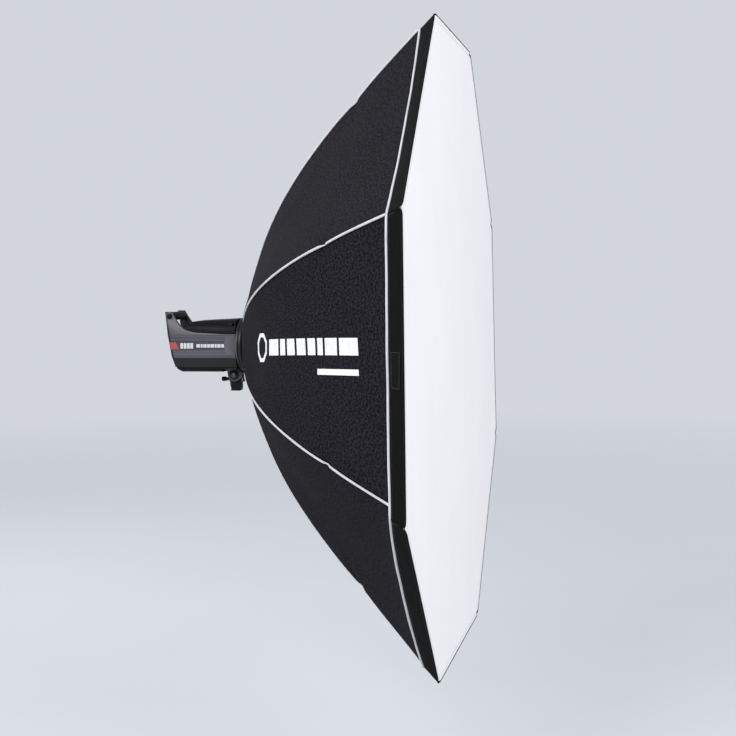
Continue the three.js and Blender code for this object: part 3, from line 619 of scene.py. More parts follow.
def seam_slope(t):
    t = np.asarray(t, float)[..., None]
    a, b, c, d = SEAM
    return unit((1 - t) ** 2 * (b - a) + 2 * (1 - t) * t * (c - b) + t ** 2 * (d - c))


T_TABLE = np.linspace(0, 1, 2001)
S_TABLE = lengths_along(seam(T_TABLE))
t_at_length = lambda s: np.interp(s, S_TABLE, T_TABLE)
length_at_t = lambda t: np.interp(t, T_TABLE, S_TABLE)
t_at_x = lambda x: np.interp(x, seam(T_TABLE)[:, 0], T_TABLE)

SHELL_LENGTH = float(length_at_t(LIP_START))
SEAM_LENGTH = float(S_TABLE[-1])
STRAP_PLACE = float(length_at_t(t_at_x(BAFFLE_LOW.x)))


def relief(k, u, t):
    """How far panel k's cloth stands out from flat: slack, waves, grooves, puckers and creases."""
    length = length_at_t(t)
    half_width = seam(t)[..., 1] * sin(HALF)
    to_seam = (1 - np.abs(u)) * half_width
    to_rim = np.maximum(SHELL_LENGTH - length, 0)
    across = u * half_width
    side = np.sign(u)
    open_cloth = (1 - u ** 2) * np.clip(to_rim / 0.10, 0, 1) ** 0.5
    slack = -SAG * (1 - u ** 2) * np.sin(pi * np.clip(length / SHELL_LENGTH, 0, 1)) ** 0.7
    # The cloth is fuller a hand's breadth from the ring
    slack = slack + 6 * MM * (1 - u ** 6) * np.exp(-((length - 110 * MM) / (100 * MM)) ** 2)
    waves = (
        1.1 * np.sin(19 * across + 7 * length + 1.3 * k)
        + 0.8 * np.sin(-13 * across + 17 * length + 2.1 * k)
        + 0.35 * np.sin(41 * across - 23 * length + 0.7 * k)
    ) * MM * open_cloth
    groove = -1.3 * MM * (np.exp(-((to_seam - 5 * MM) / (4 * MM)) ** 2)
                          + np.exp(-((to_rim - 5 * MM) / (4 * MM)) ** 2))
    along_seam = 0.45 * MM * np.sin(2 * pi * length / (23 * MM) + 1.7 * k + side)
    along_rim = 0.35 * MM * np.sin(2 * pi * across / (27 * MM) + k) * np.exp(-to_rim / (18 * MM))
    puckers = along_seam * np.exp(-to_seam / (16 * MM)) + along_rim
    from_strap = length - STRAP_PLACE
    reach = np.hypot(from_strap, to_seam)
    spokes = np.cos(7 * np.arctan2(from_strap, to_seam + 4 * MM) + 0.8 * side + k)
    creases = 1.5 * MM * spokes * np.exp(-reach / (75 * MM)) * (1 - np.exp(-reach / (12 * MM)))
    fade = (1 - np.exp(-to_seam / (2.5 * MM))) * (1 - np.exp(-to_rim / (3 * MM)))
    fade = fade * np.clip(length / (25 * MM), 0, 1)
    return slack + groove + (waves + puckers * (1 - np.exp(-to_seam / (3 * MM))) + creases) * fade


def pinch(u, t):
    """How far a baffle strap pulls the seam in, and the cloth beside it."""
    to_seam = (1 - np.abs(u)) * seam(t)[..., 1] * sin(HALF)
    from_strap = length_at_t(t) - STRAP_PLACE
    sharp = np.exp(-(from_strap / (11 * MM)) ** 2 - (to_seam / (20 * MM)) ** 2)
    broad = np.exp(-(from_strap / (55 * MM)) ** 2 - (to_seam / (70 * MM)) ** 2)
    return -PINCH_DEPTH * (0.6 * sharp + 0.4 * broad)


def outward(k, t):
    """The cloth's outward direction on panel k."""
    slope = seam_slope(t)
    out = unit(np.stack([-slope[..., 1] * cos(HALF), slope[..., 0]], -1))
    middle = 2 * HALF * k
    return np.stack([out[..., 0], -out[..., 1] * cos(middle), out[..., 1] * sin(middle)], -1)


def seam_outward(t, corner):
    """A seam's outward direction; the corner is its angle round the axis."""
    slope = seam_slope(t)
    return np.stack([-slope[..., 1], -slope[..., 0] * np.cos(corner), slope[..., 0] * np.sin(corner)], -1)


def hang(corner, x):
    """How far upwards a seam and its rod stand from their even place between the ring and the rim."""
    s = np.clip((np.asarray(x, float) - RING_X) / (float(seam(LIP_START)[0]) - RING_X), 0, 1)
    belly = np.sin(pi * s)
    if corner % SIDES == 7:
        return SEAM_END_RISE * (0.65 * s + 0.35 * (1 - np.exp(-s / 0.12)))
    if corner % SIDES in (5, 6):
        return 25 * MM * belly ** 0.6
    return {0: 5 * MM, 1: -4 * MM}.get(corner % SIDES, 0.0) * belly


def rim_tent(k, u, t):
    """The rim keeps its corner below the near lower seam's end: how far the cloth reaches out there."""
    if k != 7:
        return np.zeros(3)
    fold = 1 - 2 * SEAM_END_RISE / (2 * CORNER_R * sin(HALF))
    height = np.minimum((u + 1) / (fold + 1), (1 - u) / (1 - fold))
    near_rim = np.exp(-np.maximum(SHELL_LENGTH - length_at_t(t), 0) / (22 * MM))
    corner = -HALF
    seam_end = np.array([0, 0, SEAM_END_RISE])
    side = np.array([0, -(cos(corner) - cos(corner - 2 * HALF)), sin(corner) - sin(corner - 2 * HALF)])
    shift = side * CORNER_R * (1 - fold) / 2 - seam_end
    return (height * near_rim)[..., None] * shift


def on_shell(k, u, t, lift=0.0, shaped=True):
    """A point of panel k: u runs from -1 to 1 between its seams, t along them, lift is outwards."""
    u, t = np.broadcast_arrays(np.asarray(u, float), np.asarray(t, float))
    place = seam(t)
    middle = 2 * HALF * k
    apothem, across = place[..., 1] * cos(HALF), u * place[..., 1] * sin(HALF)
    points = np.stack([
        place[..., 0],
        -apothem * cos(middle) + across * sin(middle),
        AXIS_Z + apothem * sin(middle) + across * cos(middle),
    ], -1)
    height = lift + (relief(k, u, t) if shaped else 0)
    points = points + outward(k, t) * np.asarray(height)[..., None]
    if shaped:
        corner = middle + HALF * np.where(u < 0, -1, 1)
        points = points + seam_outward(t, corner) * pinch(u, t)[..., None]
        share = (u + 1) / 2
        points[..., 2] += hang(k - 1, place[..., 0]) * (1 - share) + hang(k, place[..., 0]) * share
        points = points + rim_tent(k, u, t)
    return points


def seam_path(k, start, end):
    """Points every 5 mm along the seam at the end of panel k, and their outward directions."""
    t = t_at_length(np.linspace(start, end, int((end - start) / (5 * MM)) + 2))
    corner = (2 * k + 1) * HALF
    place, up = seam(t), seam_outward(t, corner)
    points = round_axis(place[:, 0], place[:, 1], corner)
    points[:, 2] += hang(k, place[:, 0])
    return points + up * pinch(np.ones_like(t), t)[:, None], up, t


# ---- Cloth shell: one sewn sheet of eight panels, silver inside ----

def make_shell():
    # The rows of points lie closer where a strap pinches the cloth, and at its front hem
    pinched, hemmed = 45 * MM, 24 * MM
    lengths = np.concatenate([
        np.linspace(0, STRAP_PLACE - pinched, 88, endpoint=False),
        np.linspace(STRAP_PLACE - pinched, STRAP_PLACE + pinched, 26, endpoint=False),
        np.linspace(STRAP_PLACE + pinched, SHELL_LENGTH - hemmed, 52, endpoint=False),
        np.linspace(SHELL_LENGTH - hemmed, SHELL_LENGTH, 10),
    ])
    t = t_at_length(lengths)[:, None]
    u = -np.cos(np.linspace(0, pi, 33))[:-1][None, :]
    panels = [on_shell(k, u, t) for k in range(SIDES)]
    points = np.concatenate(panels, 1)
    rows, columns = points.shape[:2]
    shell = new_piece("shell_cloth", points, grid_faces(rows, columns, True), SHELL_CLOTH,
                      "softbox")
    half_widths = seam(t[:, 0])[:, 1] * sin(HALF)
    widest = CORNER_R * sin(HALF)
    across = np.concatenate([2 * k * widest + (u + 1) * widest for k in range(SIDES)], 1)
    map_weave(shell, np.broadcast_to(across, (rows, columns)),
              np.broadcast_to(lengths[:, None], (rows, columns)))
    to_seam = np.tile((1 - np.abs(u)) * half_widths[:, None], (1, SIDES))
    to_rim = (SHELL_LENGTH - lengths)[:, None]
    set_seam_distance(shell, np.minimum(to_seam, to_rim))
    thicken(shell, 0.9 * MM, LINING)
    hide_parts(*(f"shell_panel_{k + 1}" for k in range(SIDES)))


make_shell()


# ---- Piping ----

def make_seam_piping():
    for k in range(SIDES):
        path, up, t = seam_path(k, 8 * MM, SHELL_LENGTH - 2 * MM)
        length = length_at_t(t)
        # Near the ring the two near seams are rolled back behind the near panel's fullness, and the
        # near bottom one is rolled under all the way
        rolled = {0: 1, 7: -1}.get(k, 0) * np.exp(-(length / (210 * MM)) ** 2) - (k == 6)
        corner = (2 * k + 1) * HALF
        path = path + up * (1.2 * MM - 2.2 * MM * np.abs(rolled))[:, None]
        path = path + np.array([0, sin(corner), cos(corner)]) * 3.6 * MM * rolled[:, None]
        squeeze = np.exp(-((length - STRAP_PLACE) / (13 * MM)) ** 2)
        swell = (1 + 0.05 * np.sin(31 * length + 2.3 * k)) * (1 - 0.3 * np.abs(rolled) * (k != 6))
        tube(f"seam_piping_{k + 1}", path, up, 6.2 * MM * swell * (1 - 0.5 * squeeze),
             5.0 * MM * swell * (1 - 0.25 * squeeze), PIPING, "softbox", sides=12)


def rim_loop(t, lift, per_side=60, corner=9 * MM, wobble=0.0):
    """A closed loop round all eight panels at t, with its outward directions; its corners are eased."""
    points, ups = [], []
    half_width = float(seam(t)[1]) * sin(HALF)
    for k in range(SIDES):
        u = np.linspace(-1 + corner / half_width, 1 - corner / half_width, per_side)
        sway = wobble * (np.sin(9 * u + 2.3 * k) + 0.6 * np.sin(17 * u + k))
        points.append(on_shell(k, u, np.full_like(u, t), lift + sway, shaped=False))
        ups.append(outward(k, np.full_like(u, t)))
    return np.vstack(points), np.vstack(ups)


def make_rim_piping():
    path, up = rim_loop(LIP_START, 1.4 * MM, wobble=0.35 * MM)
    tube("rim_piping", path, up, 6.8 * MM, 5.2 * MM, PIPING, "softbox", 12, True)


make_seam_piping()
make_rim_piping()


# ---- Sprung rods: each follows its seam, and hangs with it ----

def make_rods():
    place = cubic(ROD, np.linspace(0, 1, 64))
    for k in range(SIDES):
        path = round_axis(place[:, 0], place[:, 1], (2 * k + 1) * HALF)
        # Towards its tip a rod hangs less than its seam does
        path[:, 2] += hang(k, place[:, 0]) * np.clip((0.66 - place[:, 0]) / 0.1, 0, 1)
        up = np.tile([1.0, 0, 0], (len(path), 1))
        rod = tube(f"sprung_rod_{k + 1}", path, up, 6 * MM, 6 * MM, ROD_FINISH, "softbox", 10)
        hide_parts(f"rod_{k + 1}")


make_rods()


# ---- Stitching on the shell ----

def shell_stitches():
    rows = []
    for k in range(SIDES):
        t = t_at_length(np.linspace(12 * MM, SHELL_LENGTH - 8 * MM, 200))
        half_width = seam(t)[:, 1] * sin(HALF)
        for side in (-1, 1):
            u = side * (1 - 7.5 * MM / half_width)
            rows.append((on_shell(k, u, t, 0.25 * MM), outward(k, t)))
        u = np.linspace(-0.975, 0.975, 120)
        t_rim = np.full_like(u, t_at_length(SHELL_LENGTH - 8 * MM))
        rows.append((on_shell(k, u, t_rim, 0.25 * MM), outward(k, t_rim)))
    stitches("shell_stitches", rows, BLACK_THREAD, "softbox")


shell_stitches()


# ---- Lip: outside band, folded front edge and return behind the diffuser ----

LIP_LENGTH = SEAM_LENGTH - SHELL_LENGTH
LIP_RETURN = 22 * MM
NOTCH = 4.5 * MM  # how far the mitres pull the front edge back at the corners
LIP_ROWS, RETURN_ROWS = 22, 9


def lip_profile():
    """The lip's section: t along the seam curve, and how far in from the outer face."""
    front = SEAM_LENGTH - 0.6 * MM
    t = t_at_length(np.linspace(SHELL_LENGTH, front, LIP_ROWS))
    back = t_at_length(front - np.linspace(0, LIP_RETURN, RETURN_ROWS))
    inset = np.concatenate([np.zeros(LIP_ROWS), [1.0 * MM], np.full(RETURN_ROWS - 1, 2.2 * MM)])
    return np.concatenate([t, back]), inset


def lip_relief(k, u, t):
    """Pillowing of the band, dips at its stitched edges and mitres, and slow ripples."""
    place = (length_at_t(t) - SHELL_LENGTH) / LIP_LENGTH
    half_width = seam(t)[..., 1] * sin(HALF)
    across = u * half_width
    to_corner = half_width - np.abs(across)
    arch = np.sin(pi * np.clip(place, 0, 1))
    pillow = 1.6 * MM * arch ** 0.6
    ripple = 0.7 * MM * np.sin(26 * across + 1.9 * k) * np.sin(2 * pi * place)
    ripple = ripple + 0.45 * MM * np.sin(61 * across + 2.7 * k + 4 * place)
    mitre = -2.2 * MM * np.exp(-(to_corner / (4.5 * MM)) ** 2) * np.clip(place, 0.2, 1)
    return (pillow + ripple * arch) * (1 - np.exp(-to_corner / (9 * MM))) + mitre


def on_lip(k, u, t, lift):
    u, t = np.broadcast_arrays(np.asarray(u, float), np.asarray(t, float))
    return on_shell(k, u, t, lift + lip_relief(k, u, t), shaped=False)


def make_lip():
    t, inset = lip_profile()
    by_corner = np.array([0.975, 0.987, 0.994])
    u = np.sort(np.concatenate([np.linspace(-1, 1, 41), -by_corner, by_corner]))[:-1]
    softness = np.where(np.arange(len(t)) < LIP_ROWS, 1.0, 0.25)[:, None]
    width = 2 * CORNER_R * sin(HALF)
    bands = []
    for k in range(SIDES):
        height = lip_relief(k, u[None, :], t[:, None]) * softness - inset[:, None]
        band = on_shell(k, u[None, :], t[:, None], height, shaped=False)
        to_corner = (1 - np.abs(u)) * width / 2
        reach = np.clip((length_at_t(t) - SHELL_LENGTH) / LIP_LENGTH, 0, 1)[:, None] ** 2
        band[..., 0] -= NOTCH * reach * np.exp(-(to_corner / (7 * MM)) ** 2)[None, :]
        bands.append(band)
    points = np.concatenate(bands, 1)
    rows, columns = points.shape[:2]
    lip = new_piece("lip_band", points, grid_faces(rows, columns, True), LIP_CLOTH,
                    "softbox")
    across = np.concatenate([k * width + (u + 1) * width / 2 for k in range(SIDES)])
    along = lengths_along(points[:, 10])
    map_weave(lip, np.broadcast_to(across, (rows, columns)),
              np.broadcast_to(along[:, None], (rows, columns)))
    edge = np.minimum(along, np.abs(along - LIP_LENGTH))[:, None]
    corner = np.tile((1 - np.abs(u)) * width / 2, SIDES)[None, :]
    # Painted shade darkens the lip near its edges and mitred corners
    set_seam_distance(lip, np.minimum(edge, corner) + 2 * MM)
    thicken(lip, 0.8 * MM)
    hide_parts("front_lip")


def lip_stitches():
    edges, mitres = [], []
    for k in range(SIDES):
        u = np.linspace(-0.985, 0.985, 160)
        for inset in (6 * MM, 9.5 * MM, LIP_LENGTH - 4.5 * MM):
            t = np.full_like(u, t_at_length(SHELL_LENGTH + inset))
            edges.append((on_lip(k, u, t, 0.25 * MM), outward(k, t)))
        t = t_at_length(np.linspace(SHELL_LENGTH + 5 * MM, SEAM_LENGTH - 3 * MM, 30))
        u_side = 1 - 4 * MM / (seam(t)[:, 1] * sin(HALF))
        mitres.append((on_lip(k, u_side, t, 0.3 * MM), outward(k, t)))
    stitches("lip_stitches", edges, BLACK_THREAD, "softbox")
    stitches("mitre_stitches", mitres, GREY_THREAD, "softbox", 3.2 * MM, 2.6 * MM, 0.9 * MM)


def lip_patch():
    """A small sewn-on patch in the middle of the near side's lip."""
    half_width = float(seam(0.98)[1]) * sin(HALF)
    u = np.linspace(-43 * MM, 36 * MM, 24) / half_width
    t = t_at_length(SHELL_LENGTH + np.linspace(12 * MM, LIP_LENGTH - 11 * MM, 12))
    grid_u, grid_t = np.meshgrid(u, t)
    bulge = 0.9 * MM + 0.5 * MM * np.sin(40 * grid_u) * np.sin(300 * grid_t)
    points = on_lip(0, grid_u, grid_t, bulge)
    patch = new_piece("lip_patch", points, grid_faces(12, 24), PATCH_CLOTH, "softbox")
    along = length_at_t(grid_t)
    map_weave(patch, grid_u * half_width, along)
    inward = np.minimum(np.minimum(grid_u - u[0], u[-1] - grid_u) * half_width,
                        np.minimum(along - along.min(), along.max() - along))
    # Painted shade darkens the patch near its edges
    set_seam_distance(patch, inward + 4 * MM)
    thicken(patch, 0.8 * MM)
    sewn_u, sewn_t = np.linspace(u[0] + 0.006, u[-1] - 0.006, 40), np.linspace(t[1], t[-2], 20)
    lines = [(sewn_u, np.full(40, place)) for place in (t[1], t[-2])]
    lines += [(np.full(20, place), sewn_t) for place in (sewn_u[0], sewn_u[-1])]
    rows = [(on_lip(0, u_line, t_line, 1.4 * MM), outward(0, t_line)) for u_line, t_line in lines]
    stitches("patch_stitches", rows, GREY_THREAD, "softbox")


make_lip()
lip_stitches()
lip_patch()


# ---- Diffuser and inner baffle ----

def octagon_radius(angle):
    """Distance from the middle to the edge of an octagon of corner radius 1, flat side first."""
    local = (angle + HALF) % (2 * HALF) - HALF
    return cos(HALF) / np.cos(local)


def octagon_sheet(name, node, x, radius, rings, per_side, sag, material, edge_creases, corner_pull=0.0):
    """A stretched eight-sided sheet across the axis, a little slack in the middle."""
    angles = np.arange(SIDES * per_side) / per_side * 2 * HALF - HALF
    by_edge = 1 - np.geomspace(0.09, 0.004, 12)
    rho = np.concatenate([[0.02], np.linspace(0.06, 0.9, rings), by_edge, [1.0]])
    grid_rho, grid_angle = np.meshgrid(rho, angles, indexing="ij")
    local = (grid_angle + HALF) % (2 * HALF) - HALF
    from_corner = HALF - np.abs(local)
    creases = edge_creases * grid_rho ** 8 * (1 - grid_rho ** 30)
    creases = creases * np.cos(46 * from_corner) * np.exp(-from_corner / 0.10)
    slow = 0.6 * MM * np.sin(5 * grid_angle + 3 * grid_rho) * np.sin(pi * grid_rho)
    pull = corner_pull * grid_rho ** 24 * np.exp(-(from_corner * radius / (9 * MM)) ** 2)
    depth = -sag * (1 - grid_rho ** 2) + creases + slow - pull
    points = round_axis(x + depth, grid_rho * octagon_radius(grid_angle) * radius, grid_angle)
    rows, columns = grid_rho.shape
    faces = [face[::-1] for face in grid_faces(rows, columns, True)] + [tuple(range(columns))[::-1]]
    sheet = new_piece(name, points, faces, material, "softbox")
    map_weave(sheet, points[..., 1], points[..., 2])
    thicken(sheet, 0.6 * MM)
    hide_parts(node)


def make_diffuser():
    radius, x = CORNER_R - 3.2 * MM, FRONT_X - 0.9 * MM
    octagon_sheet("diffuser_cloth", "front_diffuser", x, radius, 40, 44, 5 * MM, DIFFUSER_CLOTH,
                  1.1 * MM, NOTCH)
    rows = []
    for inset in (11 * MM, 14 * MM):
        angles = np.linspace(0, 2 * pi, SIDES * 60 + 1) - HALF
        path = round_axis(x + 0.15 * MM, octagon_radius(angles) * (radius - inset), angles)
        rows.append((path, np.tile([1.0, 0, 0], (len(path), 1))))
    stitches("diffuser_stitches", rows, WHITE_THREAD, "softbox")


BAFFLE_RADIUS, STRAP_REACH = 535 * MM, 643 * MM


def make_baffle():
    octagon_sheet("baffle_cloth", "inner_baffle", BAFFLE_HIGH.x, BAFFLE_RADIUS, 20, 20, 3 * MM,
                  BAFFLE_CLOTH, 0.8 * MM)
    share = np.linspace(0, 1, 16)
    reach = np.linspace(BAFFLE_RADIUS - 30 * MM, STRAP_REACH - 1 * MM, 16)
    for k in range(SIDES):
        path = round_axis(BAFFLE_LOW.x + 0.2 * MM, reach, (2 * k + 1) * HALF)
        path[:, 0] += 0.8 * MM * np.sin(2 * pi * share)
        path[:, 2] += hang(k, BAFFLE_LOW.x) * share
        tube(f"baffle_strap_{k + 1}", path, np.tile([1.0, 0, 0], (16, 1)), 18 * MM, 1.4 * MM,
             PIPING, "softbox", sides=12)


make_diffuser()
make_baffle()


# ---- Rear edge: gathered cuff round the ring, rolled hem and its cord ----

def make_cuff():
    gathers = 72
    columns = gathers * 6
    angles = np.arange(columns) / columns * 2 * pi
    along = np.linspace(0, 1, 14)
    grid_along, grid_angle = np.meshgrid(along, angles, indexing="ij")
    start_x, end_x = CUFF_START_X + 0.4 * MM, 49.5 * MM
    inner = 78.3 * MM
    outer = float(seam(0.004)[1]) * cos(HALF) + 1 * MM
    swell = np.sin(pi * grid_along) ** 0.5
    radius = inner + (outer - inner) * grid_along ** 2 + swell * 1.2 * MM
    radius = radius + 0.7 * MM * np.cos(gathers * grid_angle) * swell
    x = start_x + (end_x - start_x) * grid_along
    cuff = new_piece("rear_cuff", round_axis(x, radius, grid_angle), grid_faces(14, columns, True),
                     LIP_CLOTH, "softbox")
    girth = 2 * pi * outer
    map_weave(cuff, grid_angle / (2 * pi) * girth, x - start_x)
    set_seam_distance(cuff, np.full(grid_angle.shape, 12 * MM))
    thicken(cuff, 0.7 * MM)
    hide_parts("rear_collar")


def make_hem():
    path, up = rim_loop(0.004, 0.3 * MM, 12, 5 * MM)
    tube("rear_hem", path, up, 9 * MM, 4.6 * MM, LIP_CLOTH, "softbox", 12, True)
    cord, up = rim_loop(0.0005, 1.6 * MM, 12, 5 * MM)
    tube("hem_cord", cord, up, 2.4 * MM, 2.4 * MM, HEM_CORD, "softbox", 8, True)


make_cuff()
make_hem()


# ---- Plain mark on the near panel ----

def panel_patch(name, outline_rows, material):
    """A thin print on panel 0; each point is (length along the panel, distance above the axis)."""
    grid = np.asarray(outline_rows, float)
    t = t_at_length(grid[..., 0])
    u = grid[..., 1] / (seam(t)[..., 1] * sin(HALF))
    points = on_shell(0, u, t, 0.45 * MM)
    rows, columns = u.shape
    closed = bool(np.allclose(grid[:, 0], grid[:, -1]))
    if closed:
        points, columns = points[:, :-1], columns - 1
    obj = new_piece(name, points, grid_faces(rows, columns, closed), material, "softbox")
    thicken(obj, 0.35 * MM)
    return obj


def length_at_x(x):
    return float(length_at_t(t_at_x(x)))


MARK_LEAN = radians(2.4)
MARK_START, MARK_HEIGHT = length_at_x(0.174), 5.5 * MM


def mark_place(length, height):
    """Turns the mark a little, as it is printed on the panel."""
    along = length - MARK_START
    return np.stack([MARK_START + along * cos(MARK_LEAN) - height * sin(MARK_LEAN),
                     MARK_HEIGHT + along * sin(MARK_LEAN) + height * cos(MARK_LEAN)], -1)


def make_mark():
    angles = np.linspace(0, 2 * pi, SIDES * 8 + 1)
    edge = octagon_radius(angles)
    rings = [mark_place(MARK_START + r * edge * np.cos(angles), r * edge * np.sin(angles))
             for r in np.linspace(28.5 * MM, 39.5 * MM, 4)]
    panel_patch("mark_octagon", rings, MARK_PRINT)

    def bar(name, x_from, x_to, low, high):
        along = np.linspace(length_at_x(x_from), length_at_x(x_to), 24)
        heights = np.linspace(low, high, 5)
        panel_patch(name, [mark_place(np.full(5, place), heights) for place in along], MARK_PRINT)

    # The bars stand in a row, each from one of these x to a little before the next
    edges = (0.204, 0.246, 0.270, 0.3015, 0.336, 0.3665, 0.390, 0.434, 0.497)
    for i, (x_from, x_to) in enumerate(zip(edges, edges[1:])):
        bar(f"mark_bar_{i + 1}", x_from, x_to - 0.007, -20 * MM, 20 * MM)
    bar("mark_line", 0.365, 0.488, -66 * MM, -52 * MM)


make_mark()


# ---- Head: ribs, labels, screws, display and printed marks ----

REAR_TILT = radians(9.8)
PANEL_X, PANEL_Z = -164.5 * MM, AXIS_Z - 1 * MM  # the middle of the control panel's face


def plate(name, corners, normal, depth, material, body, bevel=0.0):
    """A flat outline, its corners anticlockwise about the normal, made solid downwards by depth."""
    corners = np.asarray(corners, float)
    low = corners - np.asarray(normal, float) * depth
    count = len(corners)
    faces = [tuple(range(count)), tuple(range(2 * count - 1, count - 1, -1))]
    faces += [(i, i + count, (i + 1) % count + count, (i + 1) % count) for i in range(count)]
    obj = new_piece(name, np.vstack([corners, low]), faces, material, body, smooth=False)
    if bevel:
        made = obj.modifiers.new("bevel", "BEVEL")
        made.width, made.segments, made.limit_method = bevel, 2, "ANGLE"
        add_smooth(obj)
    return obj


def side_plate(name, side, outline, level, depth, material, bevel=0.0):
    """A plate on a side panel: outline points are (x, z) in mm from the head's axis."""
    points = [(x * MM, side * level * MM, AXIS_Z + z * MM) for x, z in outline]
    if side > 0:
        points = points[::-1]
    return plate(name, points, (0, side, 0), depth * MM, material, "head", bevel * MM)


def rectangle(x_low, x_high, z_low, z_high):
    return [(x_low, z_low), (x_high, z_low), (x_high, z_high), (x_low, z_high)]


RIBS = ((27.4, 30.2, -166), (16.2, 19.2, -164), (-18.2, -15.2, -158))  # low, high and rear end, mm


def make_side_details():
    for side, name in ((-1, "right"), (1, "left")):
        for i, (low, high, start) in enumerate(RIBS):
            side_plate(f"rib_{i + 1}_{name}", side, rectangle(start, -10, low, high), 66.8, 1.2,
                       SLOT_FINISHES["plastic_grey"], 0.55)
        film = [(-163, -10.5), (-12.5, -10.5), (-12.5, 10.5), (-166.6, 10.5)]
        side_plate(f"label_film_{name}", side, film, 65.95, 0.3, LABEL_FILM)
        chip = [(-162.6, -9.5), (-140, -9.5), (-149, 9.5), (-166, 9.5)]
        side_plate(f"label_chip_{name}", side, chip, 66.1, 0.12, LABEL_RED)
        blocks = [rectangle(x, x + 7.6, -7.4, 7.4) for x in (-136, -126.6, -117.2, -107.8)]
        x = -91.0
        for width in (10.5, 5.5, 9, 7.5, 10, 6, 9, 7.5):
            blocks.append(rectangle(x, x + width, -4.6, 4.6))
            x += width + 1.8
        for i, block in enumerate(blocks):
            side_plate(f"label_block_{i + 1}_{name}", side, block, 66.1, 0.12, LABEL_LIGHT)


def panel_point(x, y, z):
    """A point of the control panel, in mm: x is inwards from its face, z runs up its slope."""
    return (PANEL_X + (x * cos(REAR_TILT) - z * sin(REAR_TILT)) * MM, y * MM,
            PANEL_Z + (x * sin(REAR_TILT) + z * cos(REAR_TILT)) * MM)


def panel_plate(name, outline, level, depth, material, body="head"):
    """A plate on the control panel: outline points are (y, z), seen from behind with y to the left."""
    points = [panel_point(level, y, z) for y, z in outline]
    area = sum(a[0] * b[1] - b[0] * a[1] for a, b in zip(outline, outline[1:] + outline[:1]))
    if area > 0:
        points = points[::-1]
    normal = (-cos(REAR_TILT), 0, -sin(REAR_TILT))
    return plate(name, points, normal, depth * MM, material, body)


# Each bar of a digit, from one corner of its 2-by-3 grid to the next, and the bars each digit lights
SEGMENTS = {"a": (0, 2, 1, 2), "b": (1, 1, 1, 2), "c": (1, 0, 1, 1), "d": (0, 0, 1, 0),
            "e": (0, 0, 0, 1), "f": (0, 1, 0, 2), "g": (0, 1, 1, 1)}
DIGITS = {"6": "acdefg", "0": "abcdef", "5": "acdfg"}


def make_display():
    panel_plate("display_back", rectangle(-11.5, 51.5, 14.5, 35.5), 1.45, 0.12, DISPLAY_BLACK)
    for place, digit in enumerate("605"):
        left = 42 - place * 17
        for key in DIGITS[digit]:
            c0, r0, c1, r1 = SEGMENTS[key]
            (y0, y1), (z0, z1) = sorted((left - 9 * c0, left - 9 * c1)), (18 + 7 * r0, 18 + 7 * r1)
            outline = (rectangle(y0 + 0.8, y1 - 0.8, z0 - 0.8, z0 + 0.8) if z0 == z1
                       else rectangle(y0 - 0.8, y0 + 0.8, z0 + 0.8, z1 - 0.8))
            panel_plate(f"digit_{place + 1}_{key}", outline, 1.38, 0.05, DIGIT_GLOW)
    panel_plate("digit_point", rectangle(11.2, 12.8, 17.2, 18.8), 1.38, 0.05, DIGIT_GLOW)


def ring_outline(y, z, radius):
    angles = [i / 16 * 2 * pi for i in range(16)]
    return [(y + radius * cos(angle), z + radius * sin(angle)) for angle in angles]


PRINT_LEVEL, PRINT_DEPTH = -0.12, 0.15  # mm from the panel's face, and through the print


def make_panel_marks():
    knob_middle = np.array([-34, 14])
    for i in range(11):
        angle = radians(-150 + 30 * i)
        inner, outer = 14.4, 17.2 if i % 5 == 0 else 16.2
        way, across = np.array([sin(angle), cos(angle)]), np.array([cos(angle), -sin(angle)]) * 0.35
        outline = [tuple(knob_middle + way * reach + across * side)
                   for reach, side in ((inner, -1), (outer, -1), (outer, 1), (inner, 1))]
        panel_plate(f"dial_tick_{i + 1}", outline, PRINT_LEVEL, PRINT_DEPTH, LABEL_LIGHT)
    panel_plate("knob_line", rectangle(-34.6, -33.4, 18, 25.2), -8.12, PRINT_DEPTH, LABEL_LIGHT,
                "knob")
    for i, y in enumerate((47, 33, 19, 5)):
        panel_plate(f"button_mark_{i + 1}", ring_outline(y, 2, 1.2), -2.72, PRINT_DEPTH, LABEL_LIGHT,
                    f"button_{i + 1}_cap")
        panel_plate(f"button_line_{i + 1}", rectangle(y - 4, y + 4, -4.6, -3.9), PRINT_LEVEL,
                    PRINT_DEPTH, LABEL_LIGHT)


def make_screws():
    """Domed screws with a round recess at the control panel's corners."""
    rings = [(2.6, 0.0), (2.6, -0.7), (2.1, -1.3), (1.2, -1.5), (1.15, -0.6)]
    sides = 18
    for i, (y, z) in enumerate(((55, 42), (-55, 42), (47, -36), (-47, -36))):
        points = [panel_point(x, y + radius * cos(a), z + radius * sin(a))
                  for radius, x in rings for a in np.arange(sides) / sides * 2 * pi]
        last = (len(rings) - 1) * sides
        faces = grid_faces(len(rings), sides, True)
        faces += [tuple(range(last, last + sides)), tuple(range(sides))[::-1]]
        new_piece(f"panel_screw_{i + 1}", points, faces, SCREW_STEEL, "head")


make_side_details()
make_display()
make_panel_marks()
make_screws()


# ---- CAD nodes that stay: rounded edges and finishes ----

